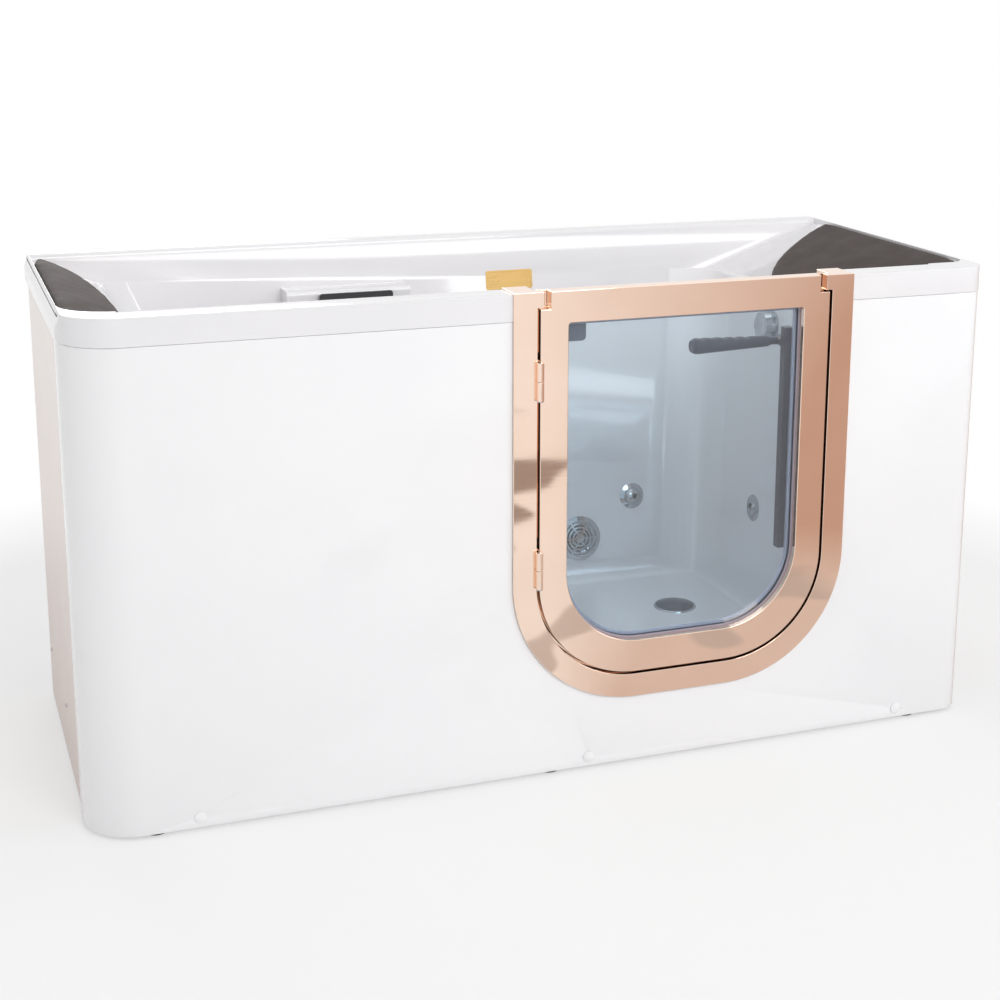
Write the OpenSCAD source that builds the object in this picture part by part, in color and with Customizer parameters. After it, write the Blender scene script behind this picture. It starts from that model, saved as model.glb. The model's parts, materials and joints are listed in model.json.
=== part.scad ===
// Walk-in jetted bath. An acrylic shell with a seat and a foot well is skirted on
// three sides and entered through an outward opening glass door in a polished frame.
// Origin: centre of the footprint on the floor. +Z is up, the door faces -Y, X is length.

/* [Tub] */
// Length over the end rims
tub_l = 1700; // [1640:10:1800]
// Width from the front band to the wall edge
tub_w = 700; // [680:10:760]
// Height of the rim above the floor
tub_h = 900; // [870:10:960]
// Wall of the acrylic shell
shell_t = 6; // [4:0.5:8]
// Plan radius of the two front corners
corner_r = 95; // [60:5:120]
// Plan radius of the two back corners
back_r = 15; // [8:1:30]
// Width of the front rim
rim_front = 60; // [54:2:70]
// Width of the back rim
rim_back = 30; // [26:2:50]
// Width of the flat rim at each end
rim_end = 12; // [8:1:18]
// Height of the band that turns down from the rim
band_h = 48; // [40:2:60]
// Wall of that band
band_t = 5; // [4:0.5:6]
// Radius of the rim's inner edge
lip_r = 12; // [6:1:18]

/* [Inside] */
// Height of the foot well's floor
floor_z = 157; // [150:1:165]
// Height of the seat
seat_z = 480; // [430:5:520]
// Length of the seat, from the backrest to its front edge
seat_l = 445; // [400:5:470]
// Seat front edge, left of the door frame
seat_gap = 20; // [10:2:60]
// How far the riser leans in under the seat edge, measured at its foot
riser_lean = 25; // [0:5:40]
// Right end wall at the floor, from the tub's centre
foot_x = 534; // [528:1:560]
// Back wall at the floor, from the tub's centre
back_foot_y = 217; // [200:1:230]
// Radius where the floor meets the walls
floor_r = 40; // [20:5:45]
// Radius of the vertical corner at the right end
well_r = 100; // [60:5:120]
// Radius between the backrest and the back wall
rest_r = 60; // [30:5:80]

/* [Headrests] */
// Thickness of a pad
pad_t = 14; // [10:1:18]
// Crown of a pad above its edge
pad_crown = 5; // [2:1:7]
// Depth of the left pad, rim to arc
pad_left = 127; // [110:1:140]
// Slope of the left deck
tilt_left = 21; // [16:1:26]
// Depth of the right pad, rim to arc
pad_right = 267; // [250:1:280]
// Slope of the right deck
tilt_right = 18; // [14:1:22]
// Half the length of each pad's straight edge
pad_half = 284; // [260:1:284]

/* [Skirts] */
// Thickness of the apron and end panels
skirt_t = 4; // [3:0.5:5]
// Step from the band in to the apron
apron_step = 1; // [0.5:0.5:2]
// Gap between the apron and the floor
toe_gap = 7; // [4:1:15]
// Length of the apron's return along each end
apron_return = 112; // [106:2:160]
// Height of the screw caps above the floor
cap_z = 25; // [22:1:40]
// Radius of a screw cap
cap_r = 10.5; // [8:0.5:13]

/* [Door] */
// Centre of the door along the tub
door_x = 230; // [226:2:236]
// Outer width of the fixed frame
frame_w = 660; // [640:2:664]
// Outer radius of the frame's bottom corners
frame_r = 240; // [200:5:250]
// Bottom of the frame above the floor
frame_z = 134; // [130:1:140]
// Face width of the frame
strip = 44; // [38:1:50]
// How far the frame stands proud of the band
proud = 4; // [3:0.5:6]
// Metal thickness of the jamb
jamb_t = 2.5; // [2:0.5:3]
// Gap between frame and leaf
leaf_gap = 5; // [4.5:0.1:6]
// Thickness of the leaf
leaf_t = 28; // [26:1:30]
// Side and bottom width of the leaf's metal
stile = 52; // [48:1:56]
// Width of the leaf's bottom rail
rail_low = 60; // [56:1:66]
// Width of the leaf's top rail
rail_top = 57; // [50:1:64]
// Height of leaf and frame above the rim
cap_t = 2; // [1.5:0.5:3]
// Thickness of the glass
glass_t = 8; // [6:1:8]
// Depth of the seat stop behind the leaf
stop_w = 15; // [12:1:18]
// Thickness of the seal between the leaf and the stop
seal_t = 4; // [3:0.5:5]

/* [Door hardware] */
// Radius of a hinge barrel
barrel_r = 6.5; // [5.5:0.5:7]
// Length of a hinge
hinge_l = 68; // [56:2:80]
// Upper hinge's centre, below the top of the leaf
hinge_drop = 156; // [122:2:202]
// Centre height of the lower hinge
hinge_lo = 402; // [380:2:440]
// Radius of a hinge pin
hinge_pin_r = 3; // [2.5:0.25:3.5]
// Lower end of the lock rail
rail_lo = 378; // [360:2:400]
// Upper end of the lock rail, below the top of the leaf
rail_drop = 100; // [92:2:112]
// Width of the lock rail
lock_w = 16; // [14:1:18]
// Lever's pivot, below the top of the leaf
lever_drop = 130; // [122:1:142]
// Length of the lever from its pivot
lever_l = 182; // [160:1:200]
// Largest radius of the grip
grip_r = 15; // [12:0.5:17]
// Travel of the sliding bar
bar_travel = 12; // [10:1:14]

/* [Jets and pump] */
// Radius of a jet's bezel
bezel_r = 30.5; // [28:0.5:34]
// Radius of a jet's turning nozzle
nozzle_r = 17.7; // [16:0.1:19]
// Clearance round the nozzle
nozzle_gap = 0.3; // [0.25:0.05:0.4]
// Radius of the suction cover
suction_r = 47.5; // [42:0.5:50]
// Outer radius of the water pipes
pipe_r = 16; // [12.5:0.5:17]
// Wall of the water pipes
pipe_t = 2.4; // [2:0.2:3]
// Radius of the pump's motor
motor_r = 64; // [55:1:70]

/* [Waste] */
// Drain along the tub, from its centre
drain_x = 375; // [360:5:390]
// Radius of the drain's flange
drain_r = 44; // [40:1:48]
// Lift of the drain plug
plug_lift = 9; // [6:1:12]
// Overflow's centre, below the rim
over_drop = 165; // [150:5:185]
// Radius of the overflow knob
knob_r = 31; // [26:1:34]
// Outer radius of the waste pipes
waste_r = 20; // [16:1:20]

/* [Frame and feet] */
// Leg of the steel angle
angle_w = 30; // [25:1:34]
// Thickness of the steel angle
angle_t = 3; // [2.5:0.5:4]
// Underside of the bottom rails
rail_z = 95; // [85:1:100]
// Radius of a foot pad
foot_r = 20; // [16:1:22]
// Radius of a foot's threaded rod
rod_r = 6; // [5:0.5:8]

/* [Hidden] */
$fn = 64;

acrylic = [0.97, 0.97, 0.98];
rose_gold = [0.86, 0.68, 0.58];
steel = [0.72, 0.74, 0.76];
chrome = [0.85, 0.86, 0.88];
black = [0.12, 0.12, 0.14];
grey = [0.36, 0.34, 0.36];
pvc = [0.90, 0.90, 0.88];

xl = -tub_l / 2;
xr = tub_l / 2;
yf = -tub_w / 2;
yb = tub_w / 2;
top = tub_h;
lip_rise = 0.4;
in_f = yf + rim_front;
in_b = yb - rim_back;

// Decks under the headrests, each from the end rim to its knee
deck_z = top - pad_t + 2;
deck_margin = 5;
knee_l = [xl + rim_end + (pad_left + deck_margin) * cos(tilt_left),
  deck_z - (pad_left + deck_margin) * sin(tilt_left)];
knee_r = [xr - rim_end - (pad_right + deck_margin) * cos(tilt_right),
  deck_z - (pad_right + deck_margin) * sin(tilt_right)];

// Door frame and leaf, in X and Z
fx0 = door_x - frame_w / 2;
fx1 = door_x + frame_w / 2;
jx0 = fx0 + strip;
jx1 = fx1 - strip;
jz = frame_z + strip;
jr = frame_r - strip;
lx0 = jx0 + leaf_gap;
lx1 = jx1 - leaf_gap;
lz = jz + leaf_gap;
lr = jr - leaf_gap;
gx0 = lx0 + stile;
gx1 = lx1 - stile;
gz0 = lz + rail_low;
door_top = top + cap_t;
hinge_hi = door_top - hinge_drop;
rail_hi = door_top - rail_drop;
lever_z = door_top - lever_drop;
gz1 = door_top - rail_top;
gr = lr - stile + 9;
leaf_y0 = yf - proud;
leaf_y1 = leaf_y0 + leaf_t;
stop_y0 = leaf_y1 + seal_t;
stop_y1 = stop_y0 + 4;
clamp_t = 5;
clamp_y = leaf_y1 + clamp_t;
rebate = 12;
glass_y0 = leaf_y1 - 2 - glass_t;

// Seat and riser, tied to the door
seat_front = fx0 - seat_gap;
seat_back = seat_front - seat_l;
riser_foot = seat_front + riser_lean;

// Wall lines: where each inner wall stands at a height, and how far it leans
function back_y(z) = back_foot_y + (z - floor_z) * tan(back_tilt);
function end_x(z) = foot_x + (z - floor_z) * (knee_r[0] - foot_x) / (knee_r[1] - floor_z);
function rest_x(z) = seat_back + (z - seat_z) * (knee_l[0] - seat_back) / (knee_l[1] - seat_z);
back_tilt = atan((in_b - back_foot_y) / (top + lip_rise - floor_z));
end_tilt = atan((knee_r[0] - foot_x) / (knee_r[1] - floor_z));
rest_tilt = atan((seat_back - knee_l[0]) / (knee_l[1] - seat_z));

// Outline tools: corners are [x, y, radius], listed anticlockwise
function flat(c) = [c[0], c[1]];
function unit(v) = v / norm(v);
function turn(v) = [v.y, -v.x];
function at(c, i) = c[(i + len(c)) % len(c)];
function fillet(a, b, c, r, n) = let(
    u = unit(a - b), v = unit(c - b), half = acos(u * v) / 2, m = unit(u + v),
    centre = b + m * r / sin(half), p = b + u * r / tan(half) - centre,
    q = b + v * r / tan(half) - centre, a0 = atan2(p.y, p.x),
    d = (atan2(q.y, q.x) - a0 + 540) % 360 - 180)
  [for (i = [0:n]) centre + r * [cos(a0 + d * i / n), sin(a0 + d * i / n)]];
function rounded(c, n = 6) = [for (i = [0:len(c) - 1]) each c[i][2] > 0
  ? fillet(flat(at(c, i - 1)), flat(c[i]), flat(at(c, i + 1)), c[i][2], n) : [flat(c[i])]];
function grow(c, g) = [for (i = [0:len(c) - 1]) let(
    a = flat(at(c, i - 1)), b = flat(c[i]), d = flat(at(c, i + 1)),
    n1 = turn(unit(b - a)), n2 = turn(unit(d - b)), p = b + g * (n1 + n2) / (1 + n1 * n2),
    r = c[i][2] == 0 ? 0 : max(0, c[i][2] + g * sign(cross(b - a, d - b))))
  [p.x, p.y, r]];

side_line = [[xl + rim_end, top + 80, 0], [xl + rim_end, deck_z, 0], [knee_l[0], knee_l[1], 30],
  [seat_back, seat_z, 80], [seat_front, seat_z, 40], [riser_foot, floor_z, floor_r],
  [foot_x, floor_z, floor_r], [knee_r[0], knee_r[1], 30], [xr - rim_end, deck_z, 0],
  [xr - rim_end, top + 80, 0]];
cross_line = [[in_f - 30, top + 80, 0], [in_f - 30, top + lip_rise, 0],
  [in_f, top + lip_rise, lip_r], [in_f, floor_z, floor_r],
  [back_foot_y, floor_z, floor_r], [in_b, top + lip_rise, lip_r],
  [in_b + 30, top + lip_rise, 0], [in_b + 30, top + 80, 0]];

// Console moulded into the back wall, for the control panel
console_x = -237;
console_w = 252;
console_top = top - 88;
console_low = console_top - 70;
console_y = in_b - 70;
console_lean = 14;
console_line = [[console_y + console_lean, console_low, 10], [yb + 60, console_low - 30, 0],
  [yb + 60, console_top, 0], [console_y, console_top, 8]];

// Jets: place, turn, inward normal, turn of the side inlet and the way that the inlet points
up_wall = [0, sin(back_tilt), cos(back_tilt)];
down_rest = [sin(rest_tilt), 0, -cos(rest_tilt)];
function on_back(x, z, spin, way) = [[x, back_y(z), z], [90 - back_tilt, 0, 0],
  [0, -cos(back_tilt), sin(back_tilt)], spin, way];
function on_end(y, z, spin, way) = [[end_x(z), y, z], [0, end_tilt - 90, 0],
  [-cos(end_tilt), 0, sin(end_tilt)], spin, way];
function on_rest(y, z, spin, way) = [[rest_x(z), y, z], [0, 90 - rest_tilt, 0],
  [cos(rest_tilt), 0, sin(rest_tilt)], spin, way];
foot_jet_z = floor_z + 168;
end_jet_z = foot_jet_z + 26;
seat_jet_z = seat_z + 140;
rest_jet_z = seat_jet_z + 30;
rest_jet_y = 110;
suction_x = drain_x - 125;
suction_z = floor_z + 89;
over_z = top - over_drop;
jets = [on_back(drain_x + 1, foot_jet_z, 90, up_wall), on_end(0, end_jet_z, 90, [0, 1, 0]),
  on_back(seat_back + 315, seat_jet_z, -90, -up_wall),
  on_back(seat_back + 135, seat_jet_z, -90, -up_wall),
  on_rest(rest_jet_y, rest_jet_z, 0, down_rest), on_rest(-rest_jet_y, rest_jet_z, 0, down_rest)];
suction = on_back(suction_x, suction_z, 180, [-1, 0, 0]);
overflow = on_end(0, over_z, 0, [0, 0, 0]);
function behind(j, d) = j[0] - d * j[2];
inlet_d = shell_t + pipe_r + 5;
port_depth = inlet_d + pipe_r + 4;

// Water circuit: named points, the pipes between them, and a fitting where two or more meet
socket_l = 20;
socket_t = 3;
joint_r = pipe_r + socket_t;
pipe_fit = 0.05;
trunk_z = 440;
pump_x = -370;
pump_y = 60;
tray_t = 4;
rail_top_z = rail_z + angle_w;
pump_z = rail_top_z + tray_t + 10 + motor_r;
volute_x = pump_x + 30;
volute_r = 68;
nozzle_up = 92;
nozzle_side = 56;
jet_bore = nozzle_r + nozzle_gap + 3.2;
jet_body_r = jet_bore + 2;
suction_bore = 32;
suction_body_r = suction_bore + 3;
function on_trunk(x) = behind(on_back(x, trunk_z, 0, up_wall), inlet_d);
function out_of(j, t) = behind(j, inlet_d) + j[4] * t;
trunk_pump = on_trunk(volute_x);
rise = [volute_x, pump_y, trunk_pump.z];
over_jet_1 = on_trunk(jets[0][0].x);
over_jet_3 = on_trunk(jets[2][0].x);
over_jet_4 = on_trunk(jets[3][0].x);
end_jet = behind(jets[1], inlet_d);
right_high = [end_jet.x + (trunk_pump.z - end_jet.z) * tan(end_tilt), trunk_pump.y, trunk_pump.z];
right_low = [end_jet.x, trunk_pump.y, end_jet.z];
rest_back = out_of(jets[4], (behind(jets[4], inlet_d).z - trunk_pump.z) / cos(rest_tilt));
rest_front = [rest_back.x, jets[5][0].y, rest_back.z];
left_back = [rest_back.x, trunk_pump.y, trunk_pump.z];
suck_x = volute_x + nozzle_side + joint_r + socket_l + 6;
suck_back = [suck_x, behind(suction, inlet_d).y, behind(suction, inlet_d).z];
suck_low = [suck_x, pump_y, pump_z];
corners = [rise, trunk_pump, over_jet_1, over_jet_3, over_jet_4, right_high, right_low,
  rest_back, rest_front, left_back, suck_back, suck_low];
runs = [[rise, trunk_pump], [trunk_pump, over_jet_4], [trunk_pump, over_jet_3],
  [over_jet_3, over_jet_1], [over_jet_1, right_high], [right_high, right_low],
  [over_jet_4, left_back], [left_back, rest_back], [rest_back, rest_front],
  [suck_back, suck_low]];
ends = [[over_jet_1, out_of(jets[0], jet_body_r)], [right_low, out_of(jets[1], jet_body_r)],
  [over_jet_3, out_of(jets[2], jet_body_r)], [over_jet_4, out_of(jets[3], jet_body_r)],
  [rest_back, out_of(jets[4], jet_body_r)], [rest_front, out_of(jets[5], jet_body_r)],
  [rise, [volute_x, pump_y, pump_z + nozzle_up - socket_l]],
  [suck_back, out_of(suction, suction_body_r)],
  [suck_low, [volute_x + nozzle_side - socket_l, pump_y, pump_z]]];

// Waste
over_x = end_x(over_z) + 90;
waste_z = floor_z - shell_t - angle_w - waste_r - socket_t - 1;

// Hinge axis
axis_x = (jx0 + lx0) / 2;
axis_y = leaf_y0 - barrel_r - 0.5;

// The hinges stand out in front, so the tub's own middle lies a little behind the origin
tub_y = (proud + 2 * barrel_r + 0.5) / 2;
module from_tub() translate([0, tub_y, 0]) children();

module slab(y0, y1) translate([0, y1, 0]) rotate([90, 0, 0]) linear_extrude(y1 - y0) children();
module span(x0, x1) translate([x0, 0, 0]) rotate([90, 0, 90]) linear_extrude(x1 - x0) children();
module box(a, b) translate(a) cube(b - a);
module place(j) translate(j[0]) rotate(j[1]) children();
module tube(r, wall, z0, z1) translate([0, 0, z0]) difference() {
  cylinder(r = r, h = z1 - z0);
  translate([0, 0, -1]) cylinder(r = r - wall, h = z1 - z0 + 2);
}

// Rectangle with its own radius on the lower and on the upper corners
module round_rect(x0, x1, y0, y1, r_low, r_high) {
  translate([x0, y0 + r_low]) square([x1 - x0, y1 - y0 - r_low - r_high]);
  if (r_low > 0) {
    translate([x0 + r_low, y0]) square([x1 - x0 - 2 * r_low, r_low + 0.01]);
    for (x = [x0 + r_low, x1 - r_low]) translate([x, y0 + r_low]) circle(r_low);
  }
  if (r_high > 0) {
    translate([x0 + r_high, y1 - r_high - 0.01]) square([x1 - x0 - 2 * r_high, r_high + 0.01]);
    for (x = [x0 + r_high, x1 - r_high]) translate([x, y1 - r_high]) circle(r_high);
  }
}
module plan(g) round_rect(xl + g, xr - g, yf + g, yb - g, corner_r - g, max(1, back_r - g));
module plan_ring(g, wall) difference() {
  plan(g);
  plan(g + wall);
}
// Door outlines, grown by g: inside of the jamb, outside of the leaf, and the glass opening
module jamb_line(g) round_rect(jx0 - g, jx1 + g, jz - g, door_top + 40, jr + g, 0);
module leaf_line() round_rect(lx0, lx1, lz, door_top, lr, 0);
module sight_line(g) round_rect(gx0 - g, gx1 + g, gz0 - g, gz1 + g, gr + g, 6 + max(g, -4));

// Rounding along the line where two walls meet, taken off the cavity's corner up to the decks
module valley(p, tilt, spin, r, h) translate(p) rotate(tilt) rotate([0, 0, spin])
  translate([0, 0, -20]) linear_extrude(h + 140) difference() {
    translate([-r, -r]) square(r + 30);
    translate([-r, -r]) circle(r);
  }
module under_decks(g) slab(yf - 100, yb + 100) polygon([[xl - 60, 0], [xr + 60, 0],
  knee_r + 300 * [1, 0.9 * tan(tilt_right)] - [0, g / cos(tilt_right)],
  knee_r - [0, g / cos(tilt_right)], knee_l - [0, g / cos(tilt_left)],
  knee_l + 300 * [-1, 0.9 * tan(tilt_left)] - [0, g / cos(tilt_left)]]);

// Inside space of the shell, grown by g
module cavity(g) difference() {
  intersection() {
    slab(yf - 100, yb + 100) polygon(rounded(grow(side_line, g)));
    span(xl - 100, xr + 100) polygon(rounded(grow(cross_line, g)));
  }
  intersection() {
    union() {
      valley([foot_x + g, back_foot_y + g, floor_z], [-back_tilt, end_tilt, 0], 0, well_r + g,
        (knee_r[1] - floor_z) / cos(back_tilt));
      valley([seat_back - g, back_y(seat_z) + g, seat_z], [-back_tilt, -rest_tilt, 0], 90,
        rest_r + g, (knee_l[1] - seat_z) / cos(rest_tilt));
    }
    under_decks(g);
  }
  for (s = [0, 1]) translate([s ? xr - rim_end + g : xl + rim_end - g, in_f - g, deck_z - 130])
    rotate([0, 0, s ? -90 : 180]) valley([0, 0, 0], [0, 0, 0], 0, corner_r - rim_end + g, 260);
  span(console_x - console_w / 2 + g, console_x + console_w / 2 - g)
    polygon(rounded(grow(console_line, -g)));
}

module tub_shell() color(acrylic) from_tub() difference() {
  union() {
    translate([0, 0, top - shell_t]) linear_extrude(shell_t) plan(0);
    translate([0, 0, top - band_h]) linear_extrude(band_h) plan_ring(0, band_t);
    intersection() {
      cavity(shell_t);
      box([xl + band_t, yf + band_t, 0], [xr - band_t, yb - band_t, top]);
    }
  }
  cavity(0);
  slab(yf - 50, in_f + 100) jamb_line(jamb_t + 0.2);
  for (s = [-1, 1]) slab(yf - 50, yb + 50)
    polygon([[s * (xr + 1), top - 30], [s * (xr + 1), top + 1], [s * (xr - 9), top + 1],
      [s * (xr - 8), top]]);
  for (j = jets) place(j) translate([0, 0, -30]) cylinder(r = jet_bore, h = 40);
  place(suction) translate([0, 0, -30]) cylinder(r = suction_bore, h = 40);
  place(overflow) translate([0, 0, -30]) cylinder(r = over_hole_r, h = 40);
  translate([drain_x, 0, floor_z - 20]) cylinder(r = drain_hole_r, h = 40);
}
over_hole_r = 18;
drain_hole_r = 27;

// Skirts
apron_top = top - band_h - 1;
seam_y = yf + apron_return;
module skirt_ring() difference() {
  translate([0, 0, toe_gap]) linear_extrude(apron_top - toe_gap) plan_ring(apron_step, skirt_t);
  box([xl - 1, seam_y, -1], [xr + 1, yb + 1, top]);
}
cap_places = [xl + 188, door_x - 181, xr - 151];
module front_apron() color(acrylic) from_tub() difference() {
  union() {
    skirt_ring();
    // tongue that holds the apron behind the band
    difference() {
      translate([0, 0, apron_top - 20]) linear_extrude(40) plan_ring(apron_step + skirt_t, tongue_t);
      box([xl - 1, seam_y, 0], [xr + 1, yb + 1, top]);
      for (s = [-1, 1]) box([s > 0 ? xr - 60 : xl - 1, yf + 40, 0],
        [s > 0 ? xr + 1 : xl + 60, seam_y + 1, top]);
    }
    // toe flange, notched round the feet
    difference() {
      box([xl + corner_r + 20, yf + apron_step + skirt_t, toe_gap],
        [xr - corner_r - 20, yf + apron_step + skirt_t + 16, toe_gap + 3]);
      for (x = foot_x_list) translate([x, foot_y_list[0], 0]) cylinder(r = foot_r + 5, h = 30);
    }
  }
  slab(yf - 10, yf + 40) jamb_line(jamb_t + 0.2);
  for (x = cap_places) translate([x, yf - 5, cap_z]) rotate([-90, 0, 0]) cylinder(r = 3, h = 20);
}
module end_panel(s) color([0.95, 0.94, 0.92]) from_tub() difference() {
  box([min(s * (xr - band_t), s * (xr - band_t - skirt_t)), seam_y - 8, toe_gap],
    [max(s * (xr - band_t), s * (xr - band_t - skirt_t)), yb - back_r - 2, top - 25]);
  for (y = side_screw_y) translate([s * (xr - 20), y, cap_z + 90]) rotate([0, s * 90, 0])
    cylinder(r = 2.5, h = 20);
}
side_screw_y = [seam_y + 20, 0, yb - 60];
module end_panel_left() end_panel(-1);
module end_panel_right() end_panel(1);

module apron_screw_caps() color([0.93, 0.93, 0.93]) from_tub() for (x = cap_places)
  translate([x, yf + apron_step, cap_z]) rotate([90, 0, 0]) {
    intersection() {
      cylinder(r = cap_r, h = 4);
      translate([0, 0, -22]) sphere(r = 26);
    }
    translate([0, 0, -skirt_t - 14]) cylinder(r = 2.8, h = skirt_t + 14.5);
  }
module side_screws() color(steel) from_tub() for (s = [-1, 1], y = side_screw_y)
  translate([s * (xr - band_t), y, cap_z + 90]) rotate([0, s * 90, 0]) {
    intersection() {
      cylinder(r = 5, h = 2.5);
      translate([0, 0, -6]) sphere(r = 8.5);
    }
    translate([0, 0, -skirt_t - 5]) cylinder(r = 2.3, h = skirt_t + 5.5);
  }

// Welded angle frame; each bar runs from a to b with its legs toward the given sides
module bar_x(x0, x1, y, z, sy, sz) {
  box([x0, min(y, y + sy * angle_w), min(z, z + sz * angle_t)],
    [x1, max(y, y + sy * angle_w), max(z, z + sz * angle_t)]);
  box([x0, min(y, y + sy * angle_t), min(z, z + sz * angle_w)],
    [x1, max(y, y + sy * angle_t), max(z, z + sz * angle_w)]);
}
module bar_y(y0, y1, x, z, sx, sz) {
  box([min(x, x + sx * angle_w), y0, min(z, z + sz * angle_t)],
    [max(x, x + sx * angle_w), y1, max(z, z + sz * angle_t)]);
  box([min(x, x + sx * angle_t), y0, min(z, z + sz * angle_w)],
    [max(x, x + sx * angle_t), y1, max(z, z + sz * angle_w)]);
}
module post(x, y, z0, z1, sx, sy, wy = angle_w) {
  box([min(x, x + sx * angle_w), min(y, y + sy * angle_t), z0],
    [max(x, x + sx * angle_w), max(y, y + sy * angle_t), z1]);
  box([min(x, x + sx * angle_t), min(y, y + sy * wy), z0],
    [max(x, x + sx * angle_t), max(y, y + sy * wy), z1]);
}
bay_x = xr - 100;
tongue_t = 3;
bay_f = yf + apron_step + skirt_t + tongue_t + 0.3;
bay_b = yb - 8;
rim_low = top - shell_t;
foot_x_list = [-bay_x + 16, -20, bay_x - 16];
foot_y_list = [bay_f + foot_r + 1, bay_b - foot_r - 1];
leg_x = seat_back + 140;
sill_y = [-180, 150];
bearer_x = [seat_front + 2 * angle_w, drain_x - 100, foot_x - 2 * angle_w - 4];
back_reach = bay_b - in_b - shell_t - 1;
module base_frame() color(steel) from_tub() difference() {
  union() {
    bar_x(-bay_x, bay_x, bay_f, rail_top_z, 1, -1);
    bar_x(-bay_x, bay_x, bay_b, rail_top_z, -1, -1);
    for (s = [-1, 1]) bar_y(bay_f, bay_b, s * bay_x, rail_top_z, -s, -1);
    // bearers under the foot well, face to face with the shell
    for (x = bearer_x) bar_y(bay_f, bay_b, x, floor_z - shell_t, 1, -1);
    // sills under the pump, carrying the seat legs
    for (y = sill_y) bar_x(-bay_x, bearer_x[0] + 2, y, rail_top_z, 1, -1);
    // tabs that the screws at the apron's foot go into
    for (x = cap_places) box([x - 12, bay_f, cap_z - 12], [x + 12, bay_f + angle_t, rail_z + 1]);
    // outriggers that carry the end panels
    for (s = [-1, 1], y = side_screw_y) box(
      [min(s * (xr - band_t - skirt_t), s * bay_x), y - 15, rail_z],
      [max(s * (xr - band_t - skirt_t), s * bay_x), y + 15, rail_top_z]);
  }
  for (x = foot_x_list, y = foot_y_list) translate([x, y, 0]) cylinder(r = rod_r + 0.3, h = 200);
  for (s = [-1, 1], y = side_screw_y) translate([s * (xr - 25), y, cap_z + 90])
    rotate([0, s * 90, 0]) cylinder(r = 2.5, h = 30);
  for (x = cap_places) translate([x, bay_f - 5, cap_z]) rotate([-90, 0, 0]) cylinder(r = 3, h = 20);
}
// Posts up to the rim, standing on the base frame, and the rails under the front rim
module frame_uprights() color(steel) from_tub() {
  for (s = [-1, 1]) {
    post(s * bay_x, bay_f, rail_top_z, rim_low, -s, 1);
    post(s * bay_x, bay_b, rail_top_z, rim_low, -s, -1, back_reach);
  }
  post(fx0 - 8, bay_f, rail_top_z, rim_low, -1, 1);
  post(fx1 + 8, bay_f, rail_top_z, rim_low, 1, 1);
  bar_x(-bay_x, fx0 - 8, bay_f, rim_low, 1, -1);
  bar_x(fx1 + 8, bay_x, bay_f, rim_low, 1, -1);
}
// Seat bearer on its two legs
module seat_stand() color(steel) from_tub() {
  for (y = sill_y) post(leg_x, y, rail_top_z, seat_z - shell_t - angle_w, 1, 1);
  bar_y(-200, 200, leg_x, seat_z - shell_t, 1, -1);
}
module levelling_feet() color(black) from_tub() for (x = foot_x_list, y = foot_y_list)
  translate([x, y, 0]) {
    cylinder(r1 = foot_r, r2 = foot_r - 4, h = 12);
    cylinder(r = 11, h = 20);
    cylinder(r = rod_r, h = rail_top_z + 14);
  }
module foot_nuts() color(steel) from_tub() for (x = foot_x_list, y = foot_y_list)
  for (z = [rail_top_z - angle_t - 8, rail_top_z]) translate([x, y, z]) difference() {
    cylinder(r = 10.5, h = 8, $fn = 6);
    translate([0, 0, -1]) cylinder(r = rod_r, h = 10);
  }

// Headrests: soft D-shaped pads on the sloping decks. u runs down the deck from the rim, v along Y
pad_clip = corner_r - rim_end;
pad_edge = 1;
function pad_r(depth) = (pad_half * pad_half + depth * depth) / (2 * depth);
function arc_at(depth, a) = [depth - pad_r(depth) + pad_r(depth) * cos(a), pad_r(depth) * sin(a)];
function past_corner(p, tilt) = let(q = [p.x * cos(tilt) - pad_clip, p.y - in_f - pad_clip])
  q.x < 0 && q.y < 0 && norm(q) > pad_clip - 3;
// Angle at which the arc runs out on the corner curve, found by halving
function arc_end(depth, tilt, a, b, n) = let(m = (a + b) / 2) n == 0 ? m
  : past_corner(arc_at(depth, m), tilt) ? arc_end(depth, tilt, m, b, n - 1)
  : arc_end(depth, tilt, a, m, n - 1);
function pad_outline(depth, tilt) = let(
    r = pad_r(depth), a1 = acos((pad_edge - depth + r) / r),
    a0 = arc_end(depth, tilt, -a1, 0, 14), start = arc_at(depth, a0),
    c = [pad_clip, in_f + pad_clip], q = [start.x * cos(tilt), start.y] - c,
    b1 = atan2(q.y, q.x) + 360, v1 = arc_at(depth, a1).y)
  concat([for (i = [0:32]) arc_at(depth, a0 + (a1 - a0) * i / 32)],
    [for (i = [1:14]) [pad_edge, v1 + (c.y - v1) * i / 14]],
    [for (i = [1:5]) let(g = 180 + (b1 - 180) * i / 6, e = c + (pad_clip - 3) * [cos(g), sin(g)])
      [max(pad_edge, e.x / cos(tilt)), e.y]]);
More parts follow.
